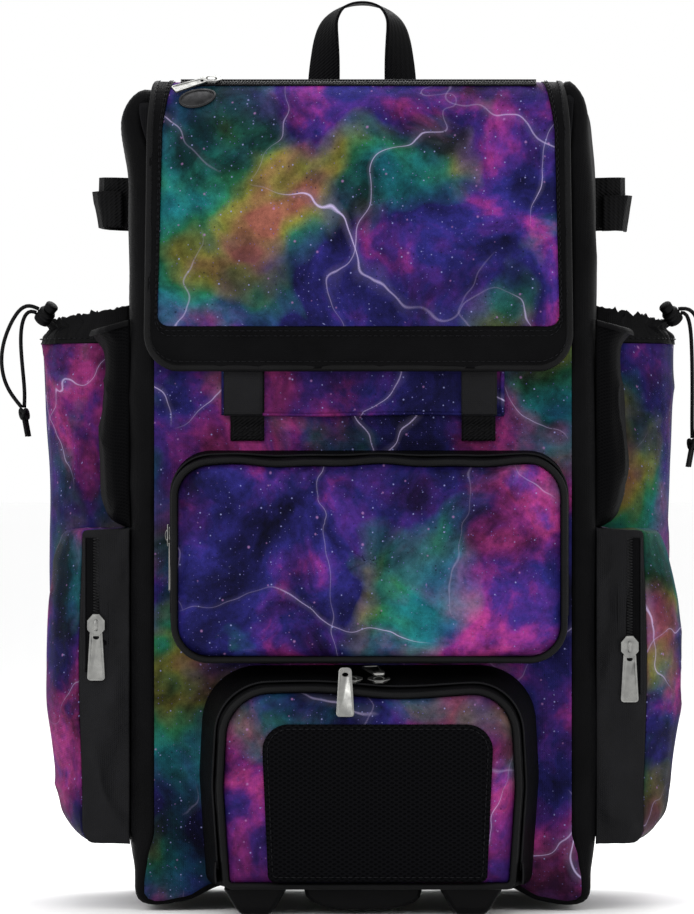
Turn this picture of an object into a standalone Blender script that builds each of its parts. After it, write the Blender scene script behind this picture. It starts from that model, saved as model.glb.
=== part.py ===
"""A baseball bat backpack standing on its feet, with its flap closed.

Front is -Y, up is +Z, and metres are used throughout. The bag is a square upright body with a
fold-over flap, two front pockets, a zipped pocket, a mesh pocket and a bat sleeve on each side,
a webbing handle, and a padded back with two shoulder straps.
"""

import math

import bmesh
import bpy
from mathutils import Matrix, Vector

for thing in list(bpy.data.objects):
    bpy.data.objects.remove(thing)

# Clearance between sewn or seated pieces.
GAP = 0.0003

# Main body: width across the flat sides, depth, and the padded wall.
BODY_WIDTH = 0.343
BODY_DEPTH = 0.230
BODY_TOP = 0.600
BODY_WALL = 0.003
BODY_ROUNDING = 0.018
SIDE_BULGE = 0.003
FOOT_HEIGHT = 0.0187
CORNER_DROOP = 0.0145
BACK_PADDING = 0.008

# Flap: the lid sewn to the back, folded over the front.
FLAP_THICKNESS = 0.005
FLAP_HEADROOM = 0.005
FLAP_STANDOFF = 0.016
FLAP_BOTTOM = 0.398
FLAP_FOLD = 0.036
FLAP_HALF_WIDTH = 0.155
FLAP_TAIL = 0.024
FLAP_BORDER = 0.031
FLAP_CORNER = 0.025
FLAP_SHIFT = -0.0033
ZIP_WIDTH = 0.007
ZIP_THICKNESS = 0.0014

# Webbing, handle and the straps across the front.
WEBBING_WIDTH = 0.025
WEBBING = 0.0018
HANDLE_SPREAD = 0.030
HANDLE_TOP = 0.684
BAND_HALF_WIDTH = 0.1035
BAND_LOW = 0.364
BAND_HIGH = 0.430
BAND_THICKNESS = 0.002
STRAP_SPREAD = 0.0848
STRAP_LOW = 0.345

# Front pockets, sewn a little to the right of the middle.
POCKET_SHIFT = 0.0045
POCKET_CLOTH = 0.002
MIDDLE_HALF_WIDTH = 0.1445
MIDDLE_LOW = 0.183
MIDDLE_HIGH = 0.338
MIDDLE_DEPTH = 0.035
MIDDLE_CORNER = 0.028
MIDDLE_CROWN = 0.0065
MIDDLE_SHOULDER = 0.016
PIPING_RADIUS = 0.0025
LOWER_HALF_WIDTH = 0.1235
LOWER_HIGH = 0.1806
LOWER_DEPTH = 0.050
LOWER_CORNER = 0.042
LOWER_TAPER = 0.0135
LOWER_CROWN = 0.006
LOWER_SHOULDER = 0.010
MESH_HALF_WIDTH = 0.0844
MESH_TOP = 0.1395
MESH_CORNER = 0.014
MESH_THICKNESS = 0.0012
MESH_SHIFT = 0.006

# Zipped side pockets, mesh pockets above them, and bat sleeves behind both.
SIDE_CLOTH = 0.002
SIDE_FRONT = -0.100
SIDE_BACK = -0.010
SIDE_LOW = 0.050
SIDE_HIGH = 0.281
SIDE_REACH = 0.062
NET_HIGH = 0.436
NET_REACH = 0.028
NET_CLOTH = 0.0015
SLEEVE_BACK = 0.110
SLEEVE_LOW = 0.060
SLEEVE_HIGH = 0.4186
SLEEVE_REACH = 0.0699
RIM_HEIGHT = 0.026
RIM_RUFFLE = 0.0016
RIM_FOLDS = 13

# Bat strap: the webbing loop that holds a bat's handle against the side.
BAT_STRAP_HEIGHT = 0.038
BAT_STRAP_LOW = 0.506
BAT_STRAP_REACH = 0.0310
BAT_STRAP_FRONT = 0.015
BAT_STRAP_BACK = 0.085

# Drawcords with their locks and knots.
CORD_RADIUS = 0.0015
LOCK_RADIUS = 0.0065
LOCK_LENGTH = 0.012
BUTTON_LENGTH = 0.006
KNOT_RADIUS = 0.0043

# Moulded feet and the grip under the front edge.
FOOT_SPREAD = 0.0785
FOOT_TOP_HALF = 0.0226
FOOT_BOTTOM_HALF = 0.0115
FOOT_LENGTH = 0.070
FRONT_FOOT = -0.160
REAR_FOOT = 0.040
GRIP_HALF_WIDTH = 0.043
GRIP_DROP = 0.015
GRIP_LENGTH = 0.045
GRIP_FRONT = -0.155

# Shoulder straps.
PAD_WIDTH = 0.065
PAD_THICKNESS = 0.012
PAD_STANDOFF = 0.052
PAD_TOP = 0.552
PAD_END = 0.220
PAD_SPREAD = 0.048
STRAP_FOOT = 0.062
STRAP_FOOT_INSET = 0.0535

# Zip sliders and their pulls.
SLIDER_WIDTH = 0.0115
SLIDER_LENGTH = 0.013
SLIDER_HEIGHT = 0.0045
PULL_LENGTH = 0.034
PULL_TOP_WIDTH = 0.0090
PULL_END_WIDTH = 0.0132
PULL_THICKNESS = 0.0015

# What follows from the sizes above.
HALF_WIDTH = BODY_WIDTH / 2
HALF_DEPTH = BODY_DEPTH / 2
BASE = FOOT_HEIGHT + GAP
FRONT = -HALF_DEPTH
BACK_FACE = HALF_DEPTH + BACK_PADDING

PRINT = ("printed polyester", (0.16, 0.07, 0.24), 0.62, 0.0)
CLOTH = ("black polyester", (0.012, 0.012, 0.013), 0.78, 0.0)
MESH = ("black mesh", (0.010, 0.010, 0.011), 0.85, 0.0)
WEB = ("black webbing", (0.014, 0.014, 0.015), 0.70, 0.0)
PLASTIC = ("black moulded plastic", (0.015, 0.015, 0.016), 0.42, 0.0)
METAL = ("satin nickel", (0.62, 0.62, 0.61), 0.34, 1.0)
DARK_METAL = ("dark nickel", (0.16, 0.16, 0.16), 0.40, 1.0)

# Rounded corners never get tighter than this.
LEAST_RADIUS = 0.0015

PARTS = []


def finished(obj, finish, smooth_angle=40):
    """Gives the object its own material, smooth shading and a place in the bag."""
    name, colour, roughness, metallic = finish
    made = bpy.data.materials.new(f"{name}, {obj.name}")
    made.use_nodes = True
    shader = made.node_tree.nodes["Principled BSDF"]
    shader.inputs["Base Color"].default_value = (*colour, 1.0)
    shader.inputs["Roughness"].default_value = roughness
    shader.inputs["Metallic"].default_value = metallic
    obj.data.materials.append(made)
    if obj.type == "MESH":
        obj.data.shade_smooth()
        obj.data.set_sharp_from_angle(angle=math.radians(smooth_angle))
    PARTS.append(obj)
    return obj


def from_bmesh(name, shape, finish):
    bmesh.ops.recalc_face_normals(shape, faces=shape.faces)
    mesh = bpy.data.meshes.new(name)
    shape.to_mesh(mesh)
    shape.free()
    obj = bpy.data.objects.new(name, mesh)
    bpy.context.scene.collection.objects.link(obj)
    return finished(obj, finish)


def stack(name, loops, finish):
    """One closed solid through loops of equal count, with a flat face at each end."""
    shape = bmesh.new()
    rings = [[shape.verts.new(point) for point in loop] for loop in loops]
    for low, high in zip(rings, rings[1:]):
        for i in range(len(low)):
            j = (i + 1) % len(low)
            shape.faces.new((low[i], low[j], high[j], high[i]))
    shape.faces.new(rings[0])
    shape.faces.new(rings[-1])
    return from_bmesh(name, shape, finish)


def shell(name, outer, inner, finish, closed=False, capped=False):
    """A cloth wall between two grids of points. closed joins the last column to the first, and
    capped closes the last row of both grids with a flat face."""
    shape = bmesh.new()
    grids = [[[shape.verts.new(p) for p in row] for row in grid] for grid in (outer, inner)]
    rows = len(outer)
    columns = len(outer[0])
    steps = columns if closed else columns - 1
    for grid in grids:
        for i in range(rows - 1):
            for j in range(steps):
                k = (j + 1) % columns
                shape.faces.new((grid[i][j], grid[i][k], grid[i + 1][k], grid[i + 1][j]))
    out, back = grids
    for i in ([0] if capped else [0, rows - 1]):
        for j in range(steps):
            k = (j + 1) % columns
            shape.faces.new((out[i][j], out[i][k], back[i][k], back[i][j]))
    if not closed:
        for j in (0, columns - 1):
            for i in range(rows - 1):
                shape.faces.new((out[i][j], out[i + 1][j], back[i + 1][j], back[i][j]))
    if capped:
        shape.faces.new(out[-1])
        shape.faces.new(back[-1])
    return from_bmesh(name, shape, finish)


def rounded(corners, steps=4):
    """A closed outline with an arc at each corner. corners: (across, up, radius), in order."""
    outline = []
    count = len(corners)
    for i, (x, z, radius) in enumerate(corners):
        here = Vector((x, z))
        before = Vector(corners[i - 1][:2])
        after = Vector(corners[(i + 1) % count][:2])
        a = (before - here).normalized()
        b = (after - here).normalized()
        half = a.angle(b) / 2
        centre = here + (a + b).normalized() * (radius / math.sin(half))
        start = here + a * (radius / math.tan(half)) - centre
        end = here + b * (radius / math.tan(half)) - centre
        turn = start.angle(end)
        for k in range(steps + 1):
            share = k / steps
            spoke = (start * math.sin((1 - share) * turn) + end * math.sin(share * turn))
            outline.append(centre + spoke / math.sin(turn))
    return outline


def inset(outline, distance):
    """The outline moved inwards by the distance, point by point."""
    count = len(outline)
    area = sum(outline[i - 1].x * outline[i].y - outline[i].x * outline[i - 1].y for i in range(count))
    side = 1 if area > 0 else -1
    moved = []
    for i, point in enumerate(outline):
        a = (point - outline[i - 1]).normalized()
        b = (outline[(i + 1) % count] - point).normalized()
        along = (a + b).normalized()
        inward = Vector((-along.y, along.x)) * side
        moved.append(point + inward * (distance / max(0.5, along.dot(a))))
    return moved


def corner_ring(corners, distance=0.0, steps=4):
    """The rounded outline of these corners, moved inwards by the distance."""
    moved = inset([Vector(corner[:2]) for corner in corners], distance)
    return rounded([(p.x, p.y, max(corner[2] - distance, LEAST_RADIUS)) for p, corner in zip(moved, corners)], steps)


def at_depth(outline, y):
    return [(p.x, y, p.y) for p in outline]


def ribbon(name, centres, widths, half_width, thickness, finish, strips=1):
    """A flat strap swept along its centre line. widths: the direction across it at each point.
    strips: how many faces it has across its width."""
    loops = []
    count = len(centres)
    for i, (centre, width) in enumerate(zip(centres, widths)):
        centre = Vector(centre)
        along = Vector(centres[min(i + 1, count - 1)]) - Vector(centres[max(i - 1, 0)])
        along.normalize()
        across = Vector(width)
        across = (across - along * across.dot(along)).normalized()
        out = along.cross(across)
        a = across * half_width
        b = out * (thickness / 2)
        across_it = [a * (2 * k / strips - 1) for k in range(strips + 1)]
        loops.append([centre + step - b for step in across_it] + [centre + step + b for step in across_it[::-1]])
    return stack(name, loops, finish)


def tube(name, points, radius, finish, closed=False, resolution=2):
    """A round cord or piping through the points."""
    curve = bpy.data.curves.new(name, "CURVE")
    curve.dimensions = "3D"
    curve.bevel_depth = radius
    curve.bevel_resolution = resolution
    curve.use_fill_caps = not closed
    spline = curve.splines.new("POLY")
    spline.points.add(len(points) - 1)
    for spot, point in zip(spline.points, points):
        spot.co = (*point, 1.0)
    spline.use_cyclic_u = closed
    spline.use_smooth = True
    obj = bpy.data.objects.new(name, curve)
    bpy.context.scene.collection.objects.link(obj)
    return finished(obj, finish)


def turned(name, start, axis, profile, sides, finish):
    """A solid of revolution. profile: (along, radius) rows from the start along the axis."""
    axis = Vector(axis).normalized()
    u = axis.orthogonal().normalized()
    v = axis.cross(u)
    loops = []
    for along, radius in profile:
        centre = Vector(start) + axis * along
        turns = [2 * math.pi * k / sides for k in range(sides)]
        loops.append([centre + (u * math.cos(t) + v * math.sin(t)) * radius for t in turns])
    return stack(name, loops, finish)


def eased(a, b, c, d, share):
    """A value between b and c, on a smooth curve that also passes through a and d."""
    return 0.5 * (2 * b + (c - a) * share + (2 * a - 5 * b + 4 * c - d) * share ** 2
                  + (3 * b - a - 3 * c + d) * share ** 3)


def smooth_through(points, spacing):
    """Evenly spaced points on a smooth curve through the given ones."""
    knots = [Vector(p) for p in points]
    dense = []
    for i in range(len(knots) - 1):
        a = knots[max(i - 1, 0)]
        b = knots[i]
        c = knots[i + 1]
        d = knots[min(i + 2, len(knots) - 1)]
        dense += [eased(a, b, c, d, k / 20) for k in range(20)]
    dense.append(knots[-1])
    total = sum((q - p).length for p, q in zip(dense, dense[1:]))
    count = max(2, round(total / spacing))
    step = total / count
    even = [dense[0]]
    walked = 0.0
    for p, q in zip(dense, dense[1:]):
        length = (q - p).length
        while len(even) < count and walked + length >= step * len(even):
            even.append(p.lerp(q, (step * len(even) - walked) / length))
        walked += length
    even.append(dense[-1])
    return even


# Body: one U-shaped gusset makes both sides and the base. Half of its path, from the top end down
# to the middle of the base. across is a share of the half width, up of the height above the base,
# droop of CORNER_DROOP below it, and lip of BODY_ROUNDING.
GUSSET_PATH = (
    # across, up, droop, lip
    (0.850, 1.000, 0.00, 0.50),
    (0.925, 1.000, 0.00, 0.50),
    (0.978, 0.994, 0.00, 0.52),
    (1.000, 0.975, 0.00, 0.65),
    (1.000, 0.920, 0.00, 1.00),
    (1.000, 0.640, 0.00, 1.00),
    (1.000, 0.360, 0.00, 1.00),
    (1.000, 0.160, 0.00, 1.00),
    (1.000, 0.062, 0.00, 1.00),
    (0.988, 0.034, 0.00, 0.66),
    (0.960, 0.010, 0.00, 0.40),
    (0.928, 0.000, 0.55, 0.30),
    (0.885, 0.000, 0.93, 0.24),
    (0.840, 0.000, 1.00, 0.22),
    (0.735, 0.000, 0.82, 0.22),
    (0.660, 0.000, 0.28, 0.22),
    (0.605, 0.000, 0.00, 0.22),
    (0.000, 0.000, 0.00, 0.22),
)


def gusset_stations():
    """(place, outward direction, lip) along the whole U, from the left top to the right top."""
    half = []
    for across, up, droop, lip in GUSSET_PATH:
        z = BASE + up * (BODY_TOP - BASE) - droop * CORNER_DROOP
        half.append((Vector((across * HALF_WIDTH, z)), lip))
    path = [(Vector((-p.x, p.y)), lip) for p, lip in half] + half[-2::-1]
    stations = []
    for i, (place, lip) in enumerate(path):
        along = path[min(i + 1, len(path) - 1)][0] - path[max(i - 1, 0)][0]
        outward = Vector((along.y, -along.x)).normalized()
        stations.append((place, outward, lip))
    return stations


def gusset_section(lip, wall):
    """(depth, offset outwards) across the gusset, from its front lip to its back lip."""
    radius = lip * BODY_ROUNDING
    bulge = SIDE_BULGE * lip * lip
    arc = [math.radians(t) for t in (0, 30, 60, 90)]
    front = [(FRONT + radius - (radius - wall) * math.cos(t),
              (radius - wall) * math.sin(t) - radius) for t in arc]
    middle = [(share * HALF_DEPTH, bulge * full - wall) for share, full in ((-0.45, 0.8), (0, 1), (0.45, 0.8))]
    back = [(-y, n) for y, n in reversed(front)]
    return front + middle + back


def side_at(y):
    """How far the body's side stands out from the middle at this depth."""
    section = gusset_section(1.0, 0.0)
    for (a, low), (b, high) in zip(section, section[1:]):
        if y <= b:
            return HALF_WIDTH + low + (high - low) * max(0.0, (y - a) / (b - a))
    return HALF_WIDTH - BODY_ROUNDING


stations = gusset_stations()
body_grids = []
for wall in (0.0, BODY_WALL):
    body_grids.append([
        [(p.x + out.x * n, y, p.y + out.y * n) for y, n in gusset_section(lip, wall)]
        for p, out, lip in stations
    ])
shell("gusset", *body_grids, CLOTH)

# The front and back panels fill the gusset's lips.
panel_edge = [p - out * (lip * BODY_ROUNDING + GAP) for p, out, lip in stations]
stack("front_panel", [at_depth(panel_edge, FRONT), at_depth(panel_edge, FRONT + BODY_WALL)], PRINT)

# Rows of the padded back: how much of the panel's width and height, and how much of its padding.
BACK_RINGS = (
    # width, height, padding
    (1.00, 1.00, 0.0),
    (0.97, 0.92, 0.0),
    (0.95, 0.90, 0.7),
    (0.92, 0.86, 1.0),
)
panel_middle = (BODY_TOP + BASE) / 2
back_loops = [at_depth(panel_edge, HALF_DEPTH - BODY_WALL)]
for width, height, padding in BACK_RINGS:
    ring = [Vector((p.x * width, panel_middle + (p.y - panel_middle) * height)) for p in panel_edge]
    back_loops.append(at_depth(ring, HALF_DEPTH + padding * BACK_PADDING))
stack("back_panel", back_loops, MESH)

# Flap: a flat pattern of (across, distance from the tail) wrapped over a side profile.
FLAP_TOP = BODY_TOP + FLAP_HEADROOM + FLAP_THICKNESS
TAIL_Y = HALF_DEPTH + GAP + FLAP_THICKNESS
TAIL_ARC = 0.014
flap_front = FRONT - FLAP_STANDOFF
profile = [Vector((TAIL_Y, BODY_TOP - FLAP_TAIL)), Vector((TAIL_Y, FLAP_TOP - TAIL_ARC))]
for angle in (30, 60, 90):
    t = math.radians(angle)
    profile.append(Vector((TAIL_Y - TAIL_ARC + TAIL_ARC * math.cos(t), FLAP_TOP - TAIL_ARC + TAIL_ARC * math.sin(t))))
profile.append(Vector((0.0, FLAP_TOP)))
for angle in (0, 15, 30, 45, 60, 75, 90):
    t = math.radians(angle)
    profile.append(Vector((flap_front + FLAP_FOLD - FLAP_FOLD * math.sin(t), FLAP_TOP - FLAP_FOLD + FLAP_FOLD * math.cos(t))))
# The front leans back to the body towards its hem: (share of the drop, share of the standoff lost).
fold_end = FLAP_TOP - FLAP_FOLD
for drop, lean in ((0.4, 0.00), (0.8, 0.05), (1.0, 0.22)):
    profile.append(Vector((flap_front + lean * FLAP_STANDOFF, fold_end + drop * (FLAP_BOTTOM - fold_end))))
reach = [0.0]
for p, q in zip(profile, profile[1:]):
    reach.append(reach[-1] + (q - p).length)
FLAP_LENGTH = reach[-1]
FOLD_START = reach[6]
FOLD_END = reach[12]


def on_flap(x, s, offset=0.0):
    """The point of the flap's outer side at this place of its flat pattern, moved out by offset."""
    s = min(max(s, 0.0), FLAP_LENGTH)
    i = max(k for k in range(len(reach) - 1) if reach[k] <= s + 1e-9)
    share = (s - reach[i]) / (reach[i + 1] - reach[i])
    place = profile[i].lerp(profile[i + 1], share)

    def normal_of(k):
        along = profile[min(k + 1, len(profile) - 1)] - profile[max(k - 1, 0)]
        return Vector((along.y, -along.x)).normalized()

    out = normal_of(i).lerp(normal_of(i + 1), share).normalized()
    place = place + out * offset
    return (x + FLAP_SHIFT, place.x, place.y)


def share_at(s, table):
    """A value read from (distance, value) rows."""
    for (a, low), (b, high) in zip(table, table[1:]):
        if s <= b:
            return low + (high - low) * max(0.0, (s - a) / (b - a))
    return table[-1][1]


# Half widths along the flap, as shares of the widest, for its edge and for its printed middle.
EDGE_WIDTHS = ((0.0, 0.942), (FOLD_START, 0.955), (FOLD_END, 0.984), (FLAP_LENGTH, 1.0))
PRINT_WIDTHS = ((0.0, 0.865), (FOLD_START, 0.868), (FOLD_END, 0.925), (FLAP_LENGTH, 0.955))


def edge_half(s):
    return FLAP_HALF_WIDTH * share_at(s, EDGE_WIDTHS)


def print_half(s):
    return FLAP_HALF_WIDTH * share_at(s, PRINT_WIDTHS)


print_end = FLAP_LENGTH - FLAP_BORDER
PRINT_CORNER = 0.008
body_rows = [s for s in reach if s < print_end - PRINT_CORNER - 0.002]
corner_turns = [math.radians(t) for t in (0, 25, 50, 70, 90)]
panel_rows = [(s, print_half(s)) for s in body_rows]
corner_half = print_half(print_end - PRINT_CORNER)
for t in corner_turns:
    panel_rows.append((print_end - PRINT_CORNER * (1 - math.sin(t)), corner_half - PRINT_CORNER * (1 - math.cos(t))))
flap_sides = []
for depth in (0.0, -FLAP_THICKNESS):
    flap_sides.append([
        [on_flap(share * half, s, depth) for share in (-1, -0.5, 0, 0.5, 1)]
        for s, half in panel_rows
    ])
shell("flap_panel", *flap_sides, PRINT)

# The border runs down one side of the print, along the hem and up the other side.
border_half = []
for s in body_rows:
    border_half.append(((edge_half(s), s), (print_half(s) + GAP, s)))
outer_corner = FLAP_LENGTH - FLAP_CORNER
wide = edge_half(outer_corner)
for t in corner_turns:
    edge = (wide - FLAP_CORNER * (1 - math.cos(t)), outer_corner + FLAP_CORNER * math.sin(t))
    hem = (corner_half + GAP - (PRINT_CORNER + GAP) * (1 - math.cos(t)), print_end - PRINT_CORNER + (PRINT_CORNER + GAP) * math.sin(t))
    border_half.append((edge, hem))
for share in (0.5, 0.0):
    border_half.append(((share * wide, FLAP_LENGTH), (share * wide, print_end + GAP)))
border = [((-a[0], a[1]), (-b[0], b[1])) for a, b in border_half] + border_half[-2::-1]
border_sides = []
for depth in (0.0, -FLAP_THICKNESS):
    border_sides.append([
        [on_flap(*edge, depth), on_flap((edge[0] + hem[0]) / 2, (edge[1] + hem[1]) / 2, depth), on_flap(*hem, depth)]
        for edge, hem in border
    ])
shell("flap_border", *border_sides, CLOTH)

# A zip runs across the flap at the top of its front fold.
ZIP_TURN = 22
zip_middle = FOLD_START + FLAP_FOLD * math.radians(ZIP_TURN)
zip_half = print_half(zip_middle) - 0.006
zip_sides = []
for height in (GAP + ZIP_THICKNESS, GAP):
    zip_sides.append([
        [on_flap(share * zip_half, zip_middle + across * ZIP_WIDTH / 2, height) for across in (-1, 0, 1)]
        for share in (-1, -0.5, 0, 0.5, 1)
    ])
shell("flap_zip", *zip_sides, CLOTH)

# Carry handle: a webbing loop sewn to the flap's tail, turned edge-on at its top.
HANDLE_PATH = (
    # across (share of the spread), up (share of the height), turn (degrees)
    (1.000, 0.000, 0),
    (1.000, 0.200, 0),
    (0.985, 0.420, 14),
    (0.955, 0.600, 30),
    (0.930, 0.720, 42),
    (0.880, 0.815, 54),
    (0.770, 0.890, 66),
    (0.560, 0.955, 78),
    (0.290, 0.990, 86),
    (0.000, 1.000, 90),
)
handle_y = TAIL_Y + GAP + WEBBING / 2
handle_low = BODY_TOP - FLAP_TAIL + 0.002
handle_rows = [(-across, up, 180 - turn) for across, up, turn in HANDLE_PATH] + list(HANDLE_PATH[-2::-1])
handle_centres = []
handle_widths = []
last = len(handle_rows) - 1
for i in range(last):
    around = [handle_rows[min(max(k, 0), last)] for k in (i - 1, i, i + 1, i + 2)]
    for share in (0.0, 0.5) if i < last - 1 else (0.0, 0.5, 1.0):
        across, up, turn = [eased(*column, share) for column in zip(*around)]
        t = math.radians(turn)
        handle_centres.append((across * HANDLE_SPREAD, handle_y, handle_low + up * (HANDLE_TOP - handle_low)))
        handle_widths.append((math.cos(t), math.sin(t), 0))
ribbon("carry_handle", handle_centres, handle_widths, WEBBING_WIDTH / 2, WEBBING, WEB, strips=2)

# Cross band under the flap's hem, and the two webbing straps stitched down over it.
band_y = FRONT - GAP
band = [Vector((x, z)) for x, z in ((-BAND_HALF_WIDTH, BAND_LOW), (BAND_HALF_WIDTH, BAND_LOW),
                                    (BAND_HALF_WIDTH, BAND_HIGH), (-BAND_HALF_WIDTH, BAND_HIGH))]
stack("cross_band", [at_depth(band, band_y), at_depth(band, band_y - BAND_THICKNESS)], PRINT)
strap_on_panel = FRONT - GAP - WEBBING / 2
strap_on_band = band_y - BAND_THICKNESS - GAP - WEBBING / 2
STRAP_STEP = 0.003
STRAP_RUN = (
    (BAND_HIGH, strap_on_band),
    (BAND_LOW - STRAP_STEP, strap_on_band),
    (BAND_LOW - 2.5 * STRAP_STEP, strap_on_panel),
    (STRAP_LOW, strap_on_panel),
)
for word, side in (("left", -1), ("right", 1)):
    run = [(side * STRAP_SPREAD, y, z) for z, y in STRAP_RUN]
    ribbon(f"band_strap_{word}", run, [(1, 0, 0)] * len(run), WEBBING_WIDTH / 2, WEBBING, WEB)

# Rings of a padded pocket face: how far in from its edge, and how much of its crown.
CROWN_RINGS = (
    # inset, crown
    (0.00, 0.00),
    (0.12, 0.45),
    (0.45, 0.86),
    (1.00, 1.00),
)


def pocket_face(name, corners, inward, y, crown, shoulder, low_share, finish, steps=4):
    """A cloth face raised in the middle. low_share: how much of the shoulder its lower edge has."""
    low = min(corner[1] for corner in corners)
    high = max(corner[1] for corner in corners)
    grids = []
    for cloth in (0.0, POCKET_CLOTH):
        rows = []
        for step_in, rise in CROWN_RINGS:
            ring = corner_ring(corners, inward + step_in * shoulder + cloth, steps)
            lowered = (1 - low_share) * step_in * shoulder
            ring = [Vector((p.x, p.y - lowered * (1 - (p.y - low) / (high - low)))) for p in ring]
            rows.append(at_depth(ring, y - rise * crown + (cloth if rise else 0.0)))
        grids.append(rows)
    return shell(name, *grids, finish, closed=True, capped=True)


# Middle pocket: a boxed wall whose top slopes in, a round piping, and the printed face.
MIDDLE_SLOPE = 0.006


def middle_corners(share):
    """The pocket's corners, from its root (share 0) to its front edge (share 1)."""
    left = POCKET_SHIFT - MIDDLE_HALF_WIDTH
    right = POCKET_SHIFT + MIDDLE_HALF_WIDTH
    top = MIDDLE_HIGH - share * MIDDLE_SLOPE
    return [(x, z, MIDDLE_CORNER) for x, z in ((left, MIDDLE_LOW), (right, MIDDLE_LOW), (right, top), (left, top))]


def pocket_wall(name, corners_at, depth, steps):
    """The cloth wall between a pocket's root on the front panel and its front edge."""
    grids = []
    for cloth in (0.0, POCKET_CLOTH):
        grids.append([
            at_depth(corner_ring(corners_at(share), cloth, steps), FRONT - GAP - share * (depth - GAP))
            for share in (0.0, 0.5, 1.0)
        ])
    return shell(name, *grids, CLOTH, closed=True)


pocket_wall("middle_pocket_wall", middle_corners, MIDDLE_DEPTH, 4)
mid_front = FRONT - MIDDLE_DEPTH
mid_piping = corner_ring(middle_corners(1.0), PIPING_RADIUS)
tube("middle_pocket_piping", at_depth(mid_piping, mid_front - GAP - PIPING_RADIUS), PIPING_RADIUS, CLOTH,
     closed=True, resolution=1)
face_inset = 2 * PIPING_RADIUS + GAP
pocket_face("middle_pocket_face", middle_corners(1.0), face_inset, mid_front - PIPING_RADIUS, MIDDLE_CROWN,
            MIDDLE_SHOULDER, 1.0, PRINT)

# Lower pocket: an arch whose black wall slopes in all round to a smaller printed face.
LOWER_LOW = BASE + GAP
LOWER_CORNERS = (
    # across, up (shares), corner radius (share)
    (-0.965, 0.00, 0.20),
    (-1.010, 0.50, 2.0),
    (-0.975, 1.00, 1.0),
    (0.975, 1.00, 1.0),
    (1.010, 0.50, 2.0),
    (0.965, 0.00, 0.20),
)


def lower_corners(share):
    """The arch's corners, from its root (share 0) to its narrower front edge (share 1)."""
    taper = share * LOWER_TAPER
    corners = []
    for across, up, radius in LOWER_CORNERS:
        x = POCKET_SHIFT + across * (LOWER_HALF_WIDTH - taper)
        z = LOWER_LOW + up * (LOWER_HIGH - LOWER_LOW - taper)
        corners.append((x, z, radius * (LOWER_CORNER - taper * 0.4)))
    return corners


pocket_wall("lower_pocket_wall", lower_corners, LOWER_DEPTH, 3)
lower_front = FRONT - LOWER_DEPTH
lower_piping = corner_ring(lower_corners(1.0), PIPING_RADIUS, 3)
piping_y = lower_front - GAP - PIPING_RADIUS
tube("lower_pocket_piping", at_depth(lower_piping, piping_y), PIPING_RADIUS, CLOTH, closed=True, resolution=1)
pocket_face("lower_pocket_face", lower_corners(1.0), face_inset, lower_front - PIPING_RADIUS, LOWER_CROWN,
            LOWER_SHOULDER, 0.25, PRINT, 3)
lower_plateau = lower_front - PIPING_RADIUS - LOWER_CROWN
mesh_centre = POCKET_SHIFT + MESH_SHIFT
mesh_low = LOWER_LOW + face_inset + 0.003
mesh_sheet = rounded([
    (mesh_centre - 0.94 * MESH_HALF_WIDTH, mesh_low, 0.25 * MESH_CORNER),
    (mesh_centre + 0.94 * MESH_HALF_WIDTH, mesh_low, 0.25 * MESH_CORNER),
    (mesh_centre + MESH_HALF_WIDTH, MESH_TOP, MESH_CORNER),
    (mesh_centre - MESH_HALF_WIDTH, MESH_TOP, MESH_CORNER),
], steps=3)
stack("lower_pocket_mesh", [at_depth(mesh_sheet, lower_plateau - GAP),
                            at_depth(mesh_sheet, lower_plateau - GAP - MESH_THICKNESS)], MESH)


def side_wall(name, side, levels, plan, front, back, cloth, finish, ruffle=0.0):
    """A cloth wall that stands out from the body's side and is open towards it.

    levels: (height, reach) from the bottom to the top. plan: (depth share, reach share) round
    the wall, seen from above, from its front edge to its back edge. A height may be a pair, one
    for the front edge and one for the back edge.
    """
    grids = []
    low = levels[0][0] if not isinstance(levels[0][0], tuple) else levels[0][0][0]
    top = levels[-1][0] if not isinstance(levels[-1][0], tuple) else levels[-1][0][0]
    for inward in (0.0, cloth):
        grid = []
        for height, reach_out in levels:
            row = []
            for j, (deep, out) in enumerate(plan):
                first, last = height if isinstance(height, tuple) else (height, height)
                z = first + (last - first) * deep
                shrink = inward * (2 * z - low - top) / (top - low) if reach_out < 0.2 * SIDE_REACH else 0.0
                y = front + (back - front) * deep
                y = min(max(y, front + inward), back - inward)
                fold = ruffle * (1 if j % 2 else -1)
                stand = max(out * (reach_out + fold * bool(out)) - inward * min(1.0, out * 3), 0.0)
                row.append((side * (side_at(y) + 2 * GAP + stand), y, z - shrink))
            grid.append(row)
        grids.append(grid)
    return shell(name, *grids, finish)


# Plan of the zipped side pocket: the black front wall, then the printed outer panel.
WALL_PLAN = ((0.000, 0.00), (0.008, 0.22), (0.020, 0.42), (0.055, 0.60))
PANEL_PLAN = ((0.060, 0.61), (0.130, 0.75), (0.260, 0.90), (0.460, 1.00), (0.700, 0.97),
              (0.880, 0.84), (0.970, 0.60), (1.000, 0.00))
SIDE_LEVELS = (
    # up (share of the height), reach (share)
    (0.000, 0.06),
    (0.015, 0.50),
    (0.052, 0.66),
    (0.110, 0.79),
    (0.251, 0.90),
    (0.420, 0.985),
    (0.589, 1.00),
    (0.771, 0.97),
    (0.930, 0.84),
    (0.985, 0.72),
    (1.000, 0.06),
)
side_levels = [(SIDE_LOW + up * (SIDE_HIGH - SIDE_LOW), reach_share * SIDE_REACH) for up, reach_share in SIDE_LEVELS]

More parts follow.
